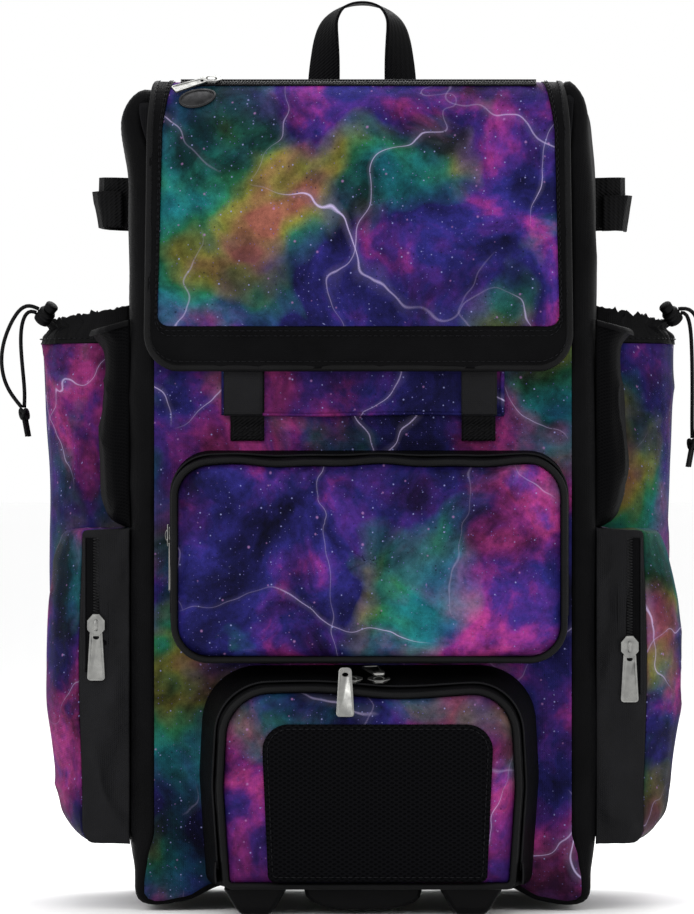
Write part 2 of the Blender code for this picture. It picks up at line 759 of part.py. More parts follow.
# Plan and levels of the bat sleeve behind it, open at its top.
SLEEVE_PLAN = ((0.00, 0.00), (0.01, 0.38), (0.06, 0.64), (0.15, 0.82), (0.30, 0.95), (0.50, 1.00),
               (0.70, 0.95), (0.85, 0.82), (0.94, 0.64), (0.99, 0.38), (1.00, 0.00))
SLEEVE_LEVELS = (
    (0.000, 0.06),
    (0.012, 0.62),
    (0.060, 0.82),
    (0.250, 0.88),
    (0.500, 0.90),
    (0.750, 0.93),
    (1.000, 1.00),
)
sleeve_front = SIDE_BACK + 0.004
sleeve_height = SLEEVE_HIGH - SLEEVE_LOW

# The gathered rim round the sleeve's mouth: (share of RIM_HEIGHT, share of the sleeve's reach).
RIM_LEVELS = ((0.0, 1.00), (0.35, 0.97), (0.70, 0.90), (1.0, 0.92))

# The mesh pocket above the zipped one, with its mouth lower at the front.
NET_PLAN = ((0.00, 0.00), (0.04, 0.55), (0.16, 0.88), (0.36, 1.00), (0.62, 1.00), (0.84, 0.86),
            (0.96, 0.52), (1.00, 0.00))
NET_MOUTH_FALL = 0.012
net_low = SIDE_HIGH + GAP
NET_LEVELS = ((0.000, 0.06), (0.015, 0.62), (0.300, 0.76), (0.650, 0.86), (1.000, 1.00))
net_height = NET_HIGH - net_low

# How far each side's sleeve stands out at the top: the left one is fuller.
SIDES = (("left", -1, 1.00), ("right", 1, 0.90))

for word, side, fullness in SIDES:
    side_wall(f"side_pocket_wall_{word}", side, side_levels, WALL_PLAN, SIDE_FRONT, SIDE_BACK, SIDE_CLOTH, CLOTH)
    side_wall(f"side_pocket_panel_{word}", side, side_levels, PANEL_PLAN, SIDE_FRONT, SIDE_BACK, SIDE_CLOTH, PRINT)
    sleeve_levels = [(SLEEVE_LOW + up * sleeve_height, share * SLEEVE_REACH * (1 + (fullness - 1) * up))
                     for up, share in SLEEVE_LEVELS]
    side_wall(f"bat_sleeve_{word}", side, sleeve_levels, SLEEVE_PLAN, sleeve_front, SLEEVE_BACK, SIDE_CLOTH, PRINT)
    net_levels = []
    for up, share in NET_LEVELS:
        height = net_low + up * net_height
        net_levels.append(((height - up * NET_MOUTH_FALL, height), share * NET_REACH))
    side_wall(f"mesh_pocket_{word}", side, net_levels, NET_PLAN, SIDE_FRONT, SIDE_BACK, NET_CLOTH, MESH)

PLAN_TURN = 2.6


def sleeve_plan(share):
    """Reach share of a smooth sleeve plan at this depth share."""
    return (1 - abs(2 * share - 1) ** PLAN_TURN) ** (1 / PLAN_TURN)


for word, side, fullness in SIDES:
    plan = [(0.0, 0.0)]
    for k in range(2 * RIM_FOLDS - 1):
        share = 0.5 - 0.5 * math.cos(math.pi * (k + 0.6) / (2 * RIM_FOLDS - 0.8))
        plan.append((share, sleeve_plan(share)))
    plan.append((1.0, 0.0))
    rim_low = SLEEVE_HIGH + GAP
    rim_levels = [(rim_low + up * RIM_HEIGHT, share * SLEEVE_REACH * fullness) for up, share in RIM_LEVELS]
    side_wall(f"sleeve_rim_{word}", side, rim_levels, plan, sleeve_front, SLEEVE_BACK, SIDE_CLOTH, CLOTH, RIM_RUFFLE)

# Bat strap loops, higher up behind the middle of each side.
LOOP_PLAN = ((0.00, 0.00), (0.02, 0.45), (0.10, 0.80), (0.28, 0.97), (0.50, 1.00), (0.72, 0.97),
             (0.90, 0.80), (0.98, 0.45), (1.00, 0.00))
for word, side, fullness in SIDES:
    loop_levels = [(BAT_STRAP_LOW, BAT_STRAP_REACH), (BAT_STRAP_LOW + BAT_STRAP_HEIGHT, BAT_STRAP_REACH)]
    side_wall(f"bat_strap_{word}", side, loop_levels, LOOP_PLAN, BAT_STRAP_FRONT, BAT_STRAP_BACK, WEBBING, WEB)

# Cord locks: a turned barrel with its button, held at the front of each sleeve's mouth.
LOCK_PROFILE = (
    # along (share of the barrel), radius (share)
    (0.00, 0.70),
    (0.08, 0.94),
    (0.20, 1.00),
    (0.85, 1.00),
    (0.98, 0.86),
    (1.00, 0.62),
)
BUTTON_PROFILE = ((0.05, 0.60), (0.12, 0.74), (0.80, 0.78), (1.00, 0.50))
LOCK_SHARE = 0.22
LOCK_UP = 0.80
lock_centres = {}
for word, side, fullness in SIDES:
    y = sleeve_front + LOCK_SHARE * (SLEEVE_BACK - sleeve_front)
    stand = sleeve_plan(LOCK_SHARE) * SLEEVE_REACH * fullness * 0.93 + RIM_RUFFLE
    rim = Vector((side * (side_at(y) + GAP + stand), y, SLEEVE_HIGH + LOCK_UP * RIM_HEIGHT))
    away = Vector((side * 0.62, -0.78, 0.0))
    centre = rim + away * (LOCK_RADIUS + 4 * GAP)
    axis = (Vector((-side * 0.78, -0.62, 0.0)) * 0.70 + Vector((0.0, 0.0, 0.71))).normalized()
    start = centre - axis * (LOCK_LENGTH * 0.5)
    rows = [(along * LOCK_LENGTH, radius * LOCK_RADIUS) for along, radius in LOCK_PROFILE]
    rows += [(LOCK_LENGTH + along * BUTTON_LENGTH, radius * LOCK_RADIUS) for along, radius in BUTTON_PROFILE]
    turned(f"cord_lock_{word}", start, axis, rows, 12, PLASTIC)
    lock_centres[word] = (centre, axis)

# Each drawcord's two strands leave the lock on its outer side, arch out and hang to a knot.
# Offsets from the lock's centre, as (outwards, forwards, up).
CORD_ROUTES = {
    ("left", "front"): ((0.0135, 0.001, 0.0110), (0.0215, 0.000, 0.0020), (0.0290, 0.000, -0.0130),
                        (0.0330, 0.000, -0.0320), (0.0290, 0.000, -0.0530), (0.0170, 0.000, -0.0690)),
    ("left", "rear"): ((0.0110, 0.000, 0.0080), (0.0155, 0.000, -0.0040), (0.0160, 0.000, -0.0200),
                       (0.0150, 0.000, -0.0420), (0.0145, 0.000, -0.0580), (0.0155, 0.000, -0.0690)),
    ("right", "front"): ((0.0120, 0.001, 0.0090), (0.0190, 0.000, 0.0000), (0.0205, 0.000, -0.0160),
                         (0.0215, 0.000, -0.0340), (0.0225, 0.000, -0.0560), (0.0200, 0.000, -0.0740),
                         (0.0165, 0.000, -0.0920)),
    ("right", "rear"): ((0.0100, 0.000, 0.0070), (0.0135, 0.000, -0.0060), (0.0145, 0.000, -0.0220),
                        (0.0150, 0.000, -0.0430), (0.0150, 0.000, -0.0650), (0.0148, 0.000, -0.0800),
                        (0.0150, 0.000, -0.0920)),
}
KNOT_PROFILE = (
    # along (share of the knot's length), radius (share)
    (0.00, 0.55),
    (0.06, 0.86),
    (0.16, 1.00),
    (0.26, 0.84),
    (0.33, 0.98),
    (0.44, 0.80),
    (0.52, 0.50),
    (0.90, 0.56),
    (1.00, 0.36),
)
KNOT_LENGTH = 0.022
for word, side, fullness in SIDES:
    centre, axis = lock_centres[word]
    exit_way = Vector((side * 0.76, 0.0, 0.65))
    exit_way = (exit_way - axis * exit_way.dot(axis)).normalized()
    ends = []
    for strand, apart in (("front", -1), ("rear", 1)):
        begin = centre + exit_way * (LOCK_RADIUS + GAP) - axis * apart * 1.25 * CORD_RADIUS
        route = [begin]
        for out, ahead, up in CORD_ROUTES[(word, strand)]:
            route.append(centre + Vector((side * out, apart * 1.25 * CORD_RADIUS - ahead, up)))
        tube(f"drawcord_{word}_{strand}", smooth_through(route, 5 * CORD_RADIUS), CORD_RADIUS, WEB)
        ends.append(route[-1])
    meet = (ends[0] + ends[1]) / 2
    knot_top = Vector((meet.x, meet.y, min(ends[0].z, ends[1].z) - 2 * GAP))
    rows = [(along * KNOT_LENGTH, radius * KNOT_RADIUS) for along, radius in KNOT_PROFILE]
    turned(f"cord_knot_{word}", knot_top, (-side * 0.18, 0.0, -0.98), rows, 10, WEB)

# Feet under the base, and the half-oval grip between the front pair.
FOOT_LOOPS = (
    # height share, width (share of the way from bottom to top), inset at the ends
    (1.00, 1.00, 0.000),
    (0.30, 0.35, 0.001),
    (0.08, 0.05, 0.002),
    (0.00, 0.00, 0.005),
)
for place, start in (("front", FRONT_FOOT), ("rear", REAR_FOOT)):
    for word, side in (("left", -1), ("right", 1)):
        loops = []
        for up, wide_share, ends_in in FOOT_LOOPS:
            half = FOOT_BOTTOM_HALF + wide_share * (FOOT_TOP_HALF - FOOT_BOTTOM_HALF) - ends_in * 0.4
            plan = rounded([(-half, start + ends_in, 0.004), (half, start + ends_in, 0.004),
                            (half, start + FOOT_LENGTH - ends_in, 0.004),
                            (-half, start + FOOT_LENGTH - ends_in, 0.004)], steps=2)
            loops.append([(side * FOOT_SPREAD + p.x, p.y, up * FOOT_HEIGHT) for p in plan])
        stack(f"{place}_foot_{word}", loops, PLASTIC)

grip_arc = []
for k in range(13):
    t = math.pi * k / 12
    drop = GRIP_DROP * min(1.0, 1.06 * math.sin(t) ** 0.75)
    grip_arc.append(Vector((-GRIP_HALF_WIDTH * math.cos(t), FOOT_HEIGHT - drop)))
GRIP_ROUNDING = 0.0025
grip_small = [Vector((p.x * 0.94, FOOT_HEIGHT - (FOOT_HEIGHT - p.y) * 0.85)) for p in grip_arc]
grip_back = GRIP_FRONT + GRIP_LENGTH
stack("base_grip", [
    at_depth(grip_small, GRIP_FRONT),
    at_depth(grip_arc, GRIP_FRONT + GRIP_ROUNDING),
    at_depth(grip_arc, grip_back - GRIP_ROUNDING),
    at_depth(grip_small, grip_back),
], PLASTIC)

# Shoulder straps: a padded length from the top of the back, then webbing down to its foot.
PAD_PATH = (
    # down (share of the padded drop), behind (share of the standoff), across (share outwards)
    (0.00, 0.00, 0.00),
    (0.08, 0.02, 0.00),
    (0.18, 0.22, 0.05),
    (0.30, 0.52, 0.10),
    (0.45, 0.82, 0.18),
    (0.62, 1.00, 0.28),
    (0.80, 0.98, 0.40),
    (1.00, 0.80, 0.52),
)
TAIL_PATH = (
    # down (share of the webbing's drop), behind and across as above
    (0.30, 0.52, 0.68),
    (0.60, 0.24, 0.84),
    (0.85, 0.05, 0.97),
    (0.94, 0.00, 1.00),
    (1.00, 0.00, 1.00),
)
for word, side in (("left", -1), ("right", 1)):
    spread = HALF_WIDTH - STRAP_FOOT_INSET - PAD_SPREAD
    pad = []
    for down, behind, across in PAD_PATH:
        pad.append((side * (PAD_SPREAD + across * spread),
                    BACK_FACE + GAP + PAD_THICKNESS / 2 + behind * PAD_STANDOFF,
                    PAD_TOP - down * (PAD_TOP - PAD_END)))
    ribbon(f"shoulder_pad_{word}", pad, [(1, 0, 0)] * len(pad), PAD_WIDTH / 2, PAD_THICKNESS, CLOTH)
    tail_drop = PAD_END - STRAP_FOOT
    joined = BACK_FACE + GAP + PAD_THICKNESS / 2 + PAD_PATH[-1][1] * PAD_STANDOFF
    foot_y = BACK_FACE + GAP + WEBBING / 2
    end = Vector(pad[-1])
    onward = (end - Vector(pad[-2])).normalized()
    tail = [end + onward * 2 * GAP, end + onward * WEBBING_WIDTH / 4]
    for down, behind, across in TAIL_PATH:
        tail.append((side * (PAD_SPREAD + across * spread),
                     foot_y + (joined - foot_y) * behind / PAD_PATH[-1][1],
                     PAD_END - down * tail_drop))
    ribbon(f"shoulder_webbing_{word}", tail, [(1, 0, 0)] * len(tail), WEBBING_WIDTH / 2, WEBBING, WEB)

# Zip sliders and pulls, each made lying in the XZ plane, facing -Y, and then placed.
SLIDER_OUTLINE = ((-0.34, 0.50), (-0.50, 0.10), (-0.42, -0.34), (-0.22, -0.50),
                  (0.22, -0.50), (0.42, -0.34), (0.50, 0.10), (0.34, 0.50))


def placed(obj, place, out, up):
    """Moves the object to its place, with its -Y side facing out and its Z axis pointing up."""
    out = Vector(out).normalized()
    up = Vector(up)
    up = (up - out * up.dot(out)).normalized()
    across = up.cross(out)
    obj.rotation_euler = Matrix((across, -out, up)).transposed().to_euler()
    obj.location = place
    return obj


def slider(name, place, out, along):
    """The body of a zip slider, with its raised bail, seated at y = 0 and standing towards -Y."""
    loops = []
    for share, y in ((1.0, 0.0), (1.0, -0.55), (0.55, -0.62), (0.45, -1.0)):
        width = SLIDER_WIDTH * share
        length = SLIDER_LENGTH * (1.0 if share == 1.0 else 0.8 * share + 0.2)
        loops.append([(x * width, y * SLIDER_HEIGHT, z * length) for x, z in SLIDER_OUTLINE])
    return placed(stack(name, loops, METAL), place, out, along)


def pull(name, place, out, up, length=PULL_LENGTH):
    """A tapered pull plate with a slot at its top, hanging from z = 0 with its back at y = 0."""
    top = PULL_TOP_WIDTH / 2
    end = PULL_END_WIDTH / 2
    plate = ((-0.7 * top, 0), (-top, -0.06), (-end, -0.93), (-0.75 * end, -1.0),
             (0.75 * end, -1.0), (end, -0.93), (top, -0.06), (0.7 * top, 0))
    slot = ((-0.45 * top, -0.05), (-0.6 * top, -0.07), (-0.6 * top, -0.14), (-0.4 * top, -0.16),
            (0.4 * top, -0.16), (0.6 * top, -0.14), (0.6 * top, -0.07), (0.45 * top, -0.05))
    rings = []
    for loop, y in ((plate, 0.0), (plate, -PULL_THICKNESS), (slot, -PULL_THICKNESS), (slot, 0.0)):
        rings.append([(x, y, z * length) for x, z in loop])
    shape = bmesh.new()
    made = [[shape.verts.new(p) for p in ring] for ring in rings]
    for i in range(4):
        low = made[i]
        high = made[(i + 1) % 4]
        for j in range(8):
            k = (j + 1) % 8
            shape.faces.new((low[j], low[k], high[k], high[j]))
    return placed(from_bmesh(name, shape, METAL), place, out, up)


TO_FRONT = Vector((0, -1, 0))
UPWARDS = Vector((0, 0, 1))
RIGHTWARDS = Vector((1, 0, 0))

# Side pocket zips run up the front wall. The slider sits part of the way up, its pull below it.
SIDE_SLIDER_UP = 0.69
RIGHT_SLIDER_FALL = 0.016
SIDE_ZIP_SHARE = 0.41
side_height = SIDE_HIGH - SIDE_LOW
side_depth = SIDE_BACK - SIDE_FRONT
SEAT_SHARE = SIDE_ZIP_SHARE - PULL_END_WIDTH / 2 / SIDE_REACH
seat = share_at(SEAT_SHARE, [(out, deep) for deep, out in WALL_PLAN])
for word, side, fullness in SIDES:
    slider_y = SIDE_FRONT + seat * side_depth - GAP
    across = side_at(SIDE_FRONT) + SIDE_ZIP_SHARE * SIDE_REACH
    z = SIDE_LOW + SIDE_SLIDER_UP * side_height - (RIGHT_SLIDER_FALL if side > 0 else 0.0)
    slider(f"side_slider_{word}", (side * across, slider_y, z), TO_FRONT, UPWARDS)
    pull(f"side_pull_{word}", (side * across, slider_y, z - SLIDER_LENGTH / 2 - GAP), TO_FRONT, UPWARDS)

# The middle pocket's slider is on its left wall, and the pull hangs along the wall.
mid_left = POCKET_SHIFT - MIDDLE_HALF_WIDTH - GAP
mid_zip_y = FRONT - 0.60 * MIDDLE_DEPTH
mid_slider_z = MIDDLE_LOW + 0.60 * (MIDDLE_HIGH - MIDDLE_LOW)
slider("middle_slider", (mid_left, mid_zip_y, mid_slider_z), -RIGHTWARDS, UPWARDS)
pull("middle_pull", (mid_left, mid_zip_y, mid_slider_z - SLIDER_LENGTH / 2 - GAP), -RIGHTWARDS, UPWARDS)

# The lower pocket's two sliders meet at the top of the arch: one pull hangs, one lies back.
arch_out = Vector((0.0, -LOWER_TAPER, LOWER_DEPTH)).normalized()
top_front = LOWER_HIGH - LOWER_TAPER
LOWER_SLIDER_BACK = 0.009
LOWER_SLIDER_LEFT = -0.0085
LOWER_SLIDER_RIGHT = 0.0115


def on_arch(x, back, height):
    """The point this far behind the arch's front edge and above its top."""
    place = Vector((x, lower_front + back, top_front + LOWER_TAPER * back / LOWER_DEPTH))
    return place + arch_out * height


for word, x in (("left", LOWER_SLIDER_LEFT), ("right", LOWER_SLIDER_RIGHT)):
    slider(f"lower_slider_{word}", on_arch(x, LOWER_SLIDER_BACK, GAP), arch_out, RIGHTWARDS)
HANG_LEAN = math.radians(18)
hang_out = Vector((0.0, -math.cos(HANG_LEAN), math.sin(HANG_LEAN)))
hang_down = Vector((0.0, -math.sin(HANG_LEAN), -math.cos(HANG_LEAN)))
piping_top = Vector((LOWER_SLIDER_LEFT - 0.0045, piping_y, top_front - PIPING_RADIUS))
hang_top = piping_top + hang_out * (PIPING_RADIUS + GAP) - hang_down * 0.36 * PULL_LENGTH
pull("lower_pull_left", hang_top, hang_out, -hang_down)
LYING_LEAN = math.radians(8)
lying_back = Vector((-0.22, math.cos(LYING_LEAN), math.sin(LYING_LEAN))).normalized()
lying_out = Vector((0.0, -math.sin(LYING_LEAN), math.cos(LYING_LEAN)))
lying_start = on_arch(LOWER_SLIDER_RIGHT, LOWER_SLIDER_BACK - 0.001, SLIDER_HEIGHT + 4 * GAP)
pull("lower_pull_right", lying_start, lying_out, -lying_back, length=0.86 * PULL_LENGTH)

# The flap's zip has a slider near its left end, with an oval tag lying on the fold.
FLAP_SLIDER_X = -0.108
zip_turn = math.radians(ZIP_TURN)
zip_out = Vector((0.0, -math.sin(zip_turn), math.cos(zip_turn)))
on_zip = Vector(on_flap(FLAP_SLIDER_X, zip_middle, 2 * GAP + ZIP_THICKNESS))
slider("flap_slider", on_zip, zip_out, RIGHTWARDS)
tag_s = zip_middle + 0.017
TAG_HALF_LENGTH = 0.0140
TAG_HALF_WIDTH = 0.0080
TAG_THICKNESS = 0.0022
TAG_SIDES = 16
tag_lean = math.radians(16)
tag_sides = []
for height in (GAP + TAG_THICKNESS, GAP):
    rows = []
    for size in (1.0, 0.55):
        ring = []
        for k in range(TAG_SIDES):
            t = 2 * math.pi * k / TAG_SIDES
            a = TAG_HALF_LENGTH * size * math.cos(t)
            b = TAG_HALF_WIDTH * size * math.sin(t)
            x = a * math.cos(tag_lean) + b * math.sin(tag_lean)
            s = b * math.cos(tag_lean) - a * math.sin(tag_lean)
            ring.append(on_flap(FLAP_SLIDER_X - 0.010 + x, tag_s + s, height))
        rows.append(ring)
    tag_sides.append(rows)
shell("flap_pull", *tag_sides, DARK_METAL, closed=True)

# The whole bag hangs from one empty, set so that its footprint is centred on the origin.
LOOSE = ("drawcord", "cord_knot", "cord_lock")
bpy.context.view_layer.update()
depths = []
for obj in PARTS:
    if obj.type == "MESH" and not obj.name.startswith(LOOSE):
        depths += [(obj.matrix_world @ vertex.co).y for vertex in obj.data.vertices]
bag = bpy.data.objects.new("bag", None)
bag.location = (0.0, -(min(depths) + max(depths)) / 2, 0.0)
bpy.context.scene.collection.objects.link(bag)
for obj in PARTS:
    obj.parent = bag
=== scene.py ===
import math
from functools import partial

import bmesh
import bpy
import numpy as np
from mathutils import Matrix, Vector, noise


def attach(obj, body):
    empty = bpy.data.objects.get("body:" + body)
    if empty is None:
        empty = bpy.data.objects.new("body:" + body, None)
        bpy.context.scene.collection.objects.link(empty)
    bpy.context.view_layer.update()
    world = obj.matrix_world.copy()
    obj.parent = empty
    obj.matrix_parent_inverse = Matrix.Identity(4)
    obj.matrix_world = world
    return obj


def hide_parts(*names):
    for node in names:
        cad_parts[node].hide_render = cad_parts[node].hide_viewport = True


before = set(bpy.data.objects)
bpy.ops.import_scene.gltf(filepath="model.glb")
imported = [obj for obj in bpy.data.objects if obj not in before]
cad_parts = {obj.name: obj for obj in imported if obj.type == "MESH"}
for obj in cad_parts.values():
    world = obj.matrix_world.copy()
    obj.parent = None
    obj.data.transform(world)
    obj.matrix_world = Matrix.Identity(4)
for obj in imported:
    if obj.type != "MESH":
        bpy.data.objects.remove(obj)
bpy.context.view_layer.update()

# Camera, floor and light: the bag stands on a pale studio floor and is seen straight from its front.
# A long lens stands far off at half the bag's height, and big soft lights stand to both sides.
FRONT_PLANE = -0.1205
FRAME_HEIGHT = 0.6709
CAMERA_FAR = 4.5
view = bpy.data.cameras.new("camera")
view.sensor_fit = "VERTICAL"
view.sensor_height = 24
view.lens = 24 * CAMERA_FAR / FRAME_HEIGHT
camera = bpy.data.objects.new("camera", view)
camera.location = (-0.0117, FRONT_PLANE - CAMERA_FAR, 0.3332)
camera.rotation_euler = (math.pi / 2, 0, 0)
bpy.context.scene.collection.objects.link(camera)
bpy.context.scene.camera = camera
bpy.context.scene.view_settings.view_transform = "Standard"


def linear(code):
    """The linear colour of an sRGB hex code."""
    parts = [int(code[i:i + 2], 16) / 255 for i in (1, 3, 5)]
    return tuple(c / 12.92 if c <= 0.04045 else ((c + 0.055) / 1.055) ** 2.4 for c in parts) + (1.0,)


def add(tree, kind, *given, output=None, stops=(), to=None, **named):
    """Adds a shader node and gives its output. given, and what is named with a capital: values or links
    for its sockets. What is named small: its settings. to: the shader's socket that the output goes to."""
    made = tree.nodes.new("ShaderNode" + kind)
    sockets = dict(enumerate(given))
    for key, value in named.items():
        if key[0].isupper():
            sockets[key.replace("_", " ")] = value
        else:
            setattr(made, key, value)
    for key, value in sockets.items():
        if isinstance(value, bpy.types.NodeSocket):
            tree.links.new(value, made.inputs[key])
        else:
            made.inputs[key].default_value = value
    if stops:
        ramp = made.color_ramp.elements
        for place, code in stops:
            (ramp[0] if place == stops[0][0] else ramp.new(place)).color = linear(code)
        ramp[0].position = stops[0][0]
        ramp.remove(ramp[len(stops)])
    if output or "Fac" in made.outputs:
        result = made.outputs[output or "Fac"]
    else:
        result = next(socket for socket in made.outputs if socket.enabled)
    if to:
        tree.links.new(result, tree.nodes["Principled BSDF"].inputs[to])
    return result


def material(name, roughness, metallic=0.0, **sockets):
    """A new material with its shader's even values set, and the call that adds a node to it."""
    made = bpy.data.materials.new(name)
    made.use_nodes = True
    for key, value in {"Roughness": roughness, "Metallic": metallic, **sockets}.items():
        made.node_tree.nodes["Principled BSDF"].inputs[key.replace("_", " ")].default_value = value
    return made, partial(add, made.node_tree)


floor_finish, node = material("matt studio paint, rolled", 0.9)
node("ValToRGB", node("TexNoise", Scale=3.0, Detail=2.0), stops=((0.0, "#FAFAFA"), (1.0, "#FFFFFF")), to="Base Color")
floor_mesh = bpy.data.meshes.new("floor")
floor_mesh.from_pydata([(-40, -40, 0), (40, -40, 0), (40, 40, 0), (-40, 40, 0)], [], [(0, 1, 2, 3)])
floor_mesh.materials.append(floor_finish)
floor = bpy.data.objects.new("floor", floor_mesh)
bpy.context.scene.collection.objects.link(floor)

world = bpy.data.worlds.new("studio")
world.use_nodes = True
world.node_tree.nodes["Background"].inputs["Color"].default_value = linear("#FFFFFF")
world.node_tree.nodes["Background"].inputs["Strength"].default_value = 1.0
bpy.context.scene.world = world
for name, place, size, power in (("key", (-2.2, -2.6, 2.3), 1.8, 42), ("fill", (2.5, -2.3, 1.4), 2.0, 16),
                                 ("top", (0.0, 0.4, 2.8), 1.6, 26), ("behind", (0.4, 2.0, 2.0), 1.6, 30)):
    lamp = bpy.data.lights.new(name, "AREA")
    lamp.energy = power
    lamp.size = size
    light = bpy.data.objects.new(name, lamp)
    light.location = place
    light.visible_camera = False
    light.rotation_euler = (Vector((0, 0, 0.3)) - Vector(place)).to_track_quat("-Z", "Y").to_euler()
    bpy.context.scene.collection.objects.link(light)

# Gusset: one long band of black polyester that makes both sides and the base of the body.
# It is cut flat, bent round the padded sides, and sewn to the front and back panels at its lips.
SETBACK = -0.0055
GAP = 0.0003
HALF_WIDTH = 0.1715
HALF_DEPTH = 0.115
BODY_TOP = 0.600
ROUNDING = 0.018
BULGE = 0.003
BASE = 0.019
DROOP = 0.0145
FRONT = -HALF_DEPTH


def far_along(line):
    """How far each point of a line of points is from its start."""
    return np.concatenate([[0.0], np.cumsum(np.linalg.norm(np.diff(line, axis=0), axis=1))])


def read_at(at, known, values):
    """The values at these places, between the places where they are known."""
    return np.stack([np.interp(at, known, values[:, k]) for k in range(values.shape[1])], axis=-1)


def even(line, count):
    """This many points at even distances along a line of points."""
    line = np.asarray(line, float)
    far = far_along(line)
    return read_at(np.linspace(0.0, far[-1], count), far, line)


def finer(grid, rows, columns):
    """An even grid laid over coarse rows of points."""
    wide = np.stack([even(row, columns) for row in grid])
    return np.stack([even(wide[:, j], rows) for j in range(columns)], axis=1)


def softened(grid, times):
    """The grid with its corners rounded off, and its edges kept."""
    for _ in range(times):
        grid = np.concatenate([grid[:1], (grid[:-2] + 2 * grid[1:-1] + grid[2:]) / 4, grid[-1:]])
        inner = (grid[:, :-2] + 2 * grid[:, 1:-1] + grid[:, 2:]) / 4
        grid = np.concatenate([grid[:, :1], inner, grid[:, -1:]], axis=1)
    return grid


def unit(ways):
    """The same ways, each one long."""
    return ways / np.maximum(np.linalg.norm(ways, axis=-1, keepdims=True), 1e-12)


def outward(grid, away_from):
    """Unit normals of the grid, on the side away from a point."""
    across = np.gradient(grid, axis=1)
    if np.allclose(grid[:, 0], grid[:, -1]):
        across[:, 0] = across[:, -1] = (grid[:, 1] - grid[:, -2]) / 2
    facing = unit(np.cross(np.gradient(grid, axis=0), across))
    return facing if np.sum(facing * (grid - np.asarray(away_from))) > 0 else -facing


def laid_flat(grid):
    """How far along its row and down its column each point of the grid's cloth lies."""
    down = np.cumsum(np.linalg.norm(np.diff(grid, axis=0, prepend=grid[:1]), axis=2), axis=0)
    along = np.cumsum(np.linalg.norm(np.diff(grid, axis=1, prepend=grid[:, :1]), axis=2), axis=1)
    return along, down


def from_edge(grid, sewn):
    """How far each point is from the sewn edges: top, bottom, left, right."""
    along, down = laid_flat(grid)
    far = np.full(grid.shape[:2], 1.0)
    for edge, field in zip("tblr", (down, down[-1:] - down, along, along[:, -1:] - along)):
        if edge in sewn:
            far = np.minimum(far, field)
    return far


def folded(grid, away_from, height, size, seed, sewn="tblr", seam=0.012, pucker=0.0, stretch=(1, 1, 1)):
    """Cloth folds: broad dents and a few creases that fade out at sewn edges, and puckers there."""
    facing = outward(grid, away_from)
    far = from_edge(grid, sewn)
    calm = np.clip(far / seam, 0, 1)
    calm = calm * calm * (3 - 2 * calm)
    ramp = np.exp(-far / 0.007) * np.clip(far / 0.002, 0, 1)
    moved = grid.copy()
    shift = Vector((seed * 3.1, seed * 1.7, seed * 2.3))
    for i in range(grid.shape[0]):
        for j in range(grid.shape[1]):
            spot = Vector(grid[i, j] * stretch) / size + shift
            dent = noise.noise(spot)
            crease = (1 - abs(noise.noise(spot * 0.8 + shift))) ** 7
            rise = height * calm[i, j] * (0.85 * dent + 0.75 * crease - 0.25)
            if pucker and ramp[i, j] > 0.02:
                rise += pucker * ramp[i, j] * noise.noise(Vector(grid[i, j]) * 95 + shift)
            moved[i, j] += facing[i, j] * rise
    return moved


def chosen(*parts):
    """Selects these objects and no others, with the first one active."""
    bpy.ops.object.select_all(action="DESELECT")
    for part in parts:
        part.select_set(True)
    bpy.context.view_layer.objects.active = parts[0]
    return parts[0]


def applied(obj):
    """Applies the object's modifiers."""
    for modifier in list(chosen(obj).modifiers):
        bpy.ops.object.modifier_apply(modifier=modifier.name)
    return obj


def placed(name, mesh, finish, replaces=()):
    """Puts a finished mesh in the scene as a piece of the bag."""
    mesh.materials.clear()
    mesh.materials.append(finish)
    mesh.shade_smooth()
    obj = bpy.data.objects.new(name, mesh)
    bpy.context.scene.collection.objects.link(obj)
    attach(obj, "root")
    if replaces:
        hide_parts(*replaces)
    return obj


def settled(obj, held, pressure, most, slack=0.02, frames=16):
    """Lets the cloth settle under a little pressure from inside. held: True where a point is sewn down."""
    group = obj.vertex_groups.new(name="sewn")
    group.add([v.index for v in obj.data.vertices if held(v.co)], 1.0, "REPLACE")
    cloth = obj.modifiers.new("cloth", "CLOTH")
    for key, value in (("quality", 5), ("vertex_group_mass", "sewn"), ("tension_stiffness", 15),
                       ("compression_stiffness", 15), ("shear_stiffness", 5), ("bending_stiffness", 0.3),
                       ("shrink_min", -slack), ("use_pressure", True), ("uniform_pressure_force", pressure)):
        setattr(cloth.settings, key, value)
    cloth.settings.effector_weights.gravity = 0
    cloth.collision_settings.use_self_collision = False
    cloth.point_cache.frame_end = frames
    before = np.array([v.co[:] for v in obj.data.vertices])
    for frame_number in range(1, frames + 1):
        bpy.context.scene.frame_set(frame_number)
    shaped = obj.evaluated_get(bpy.context.evaluated_depsgraph_get())
    step = np.array([v.co[:] for v in shaped.data.vertices]) - before
    obj.modifiers.remove(cloth)
    obj.vertex_groups.clear()
    bpy.context.scene.frame_set(1)
    length = np.linalg.norm(step, axis=1, keepdims=True)
    after = before + step * (most * np.tanh(length / most) / np.maximum(length, 1e-9))
    obj.data.vertices.foreach_set("co", after.ravel())


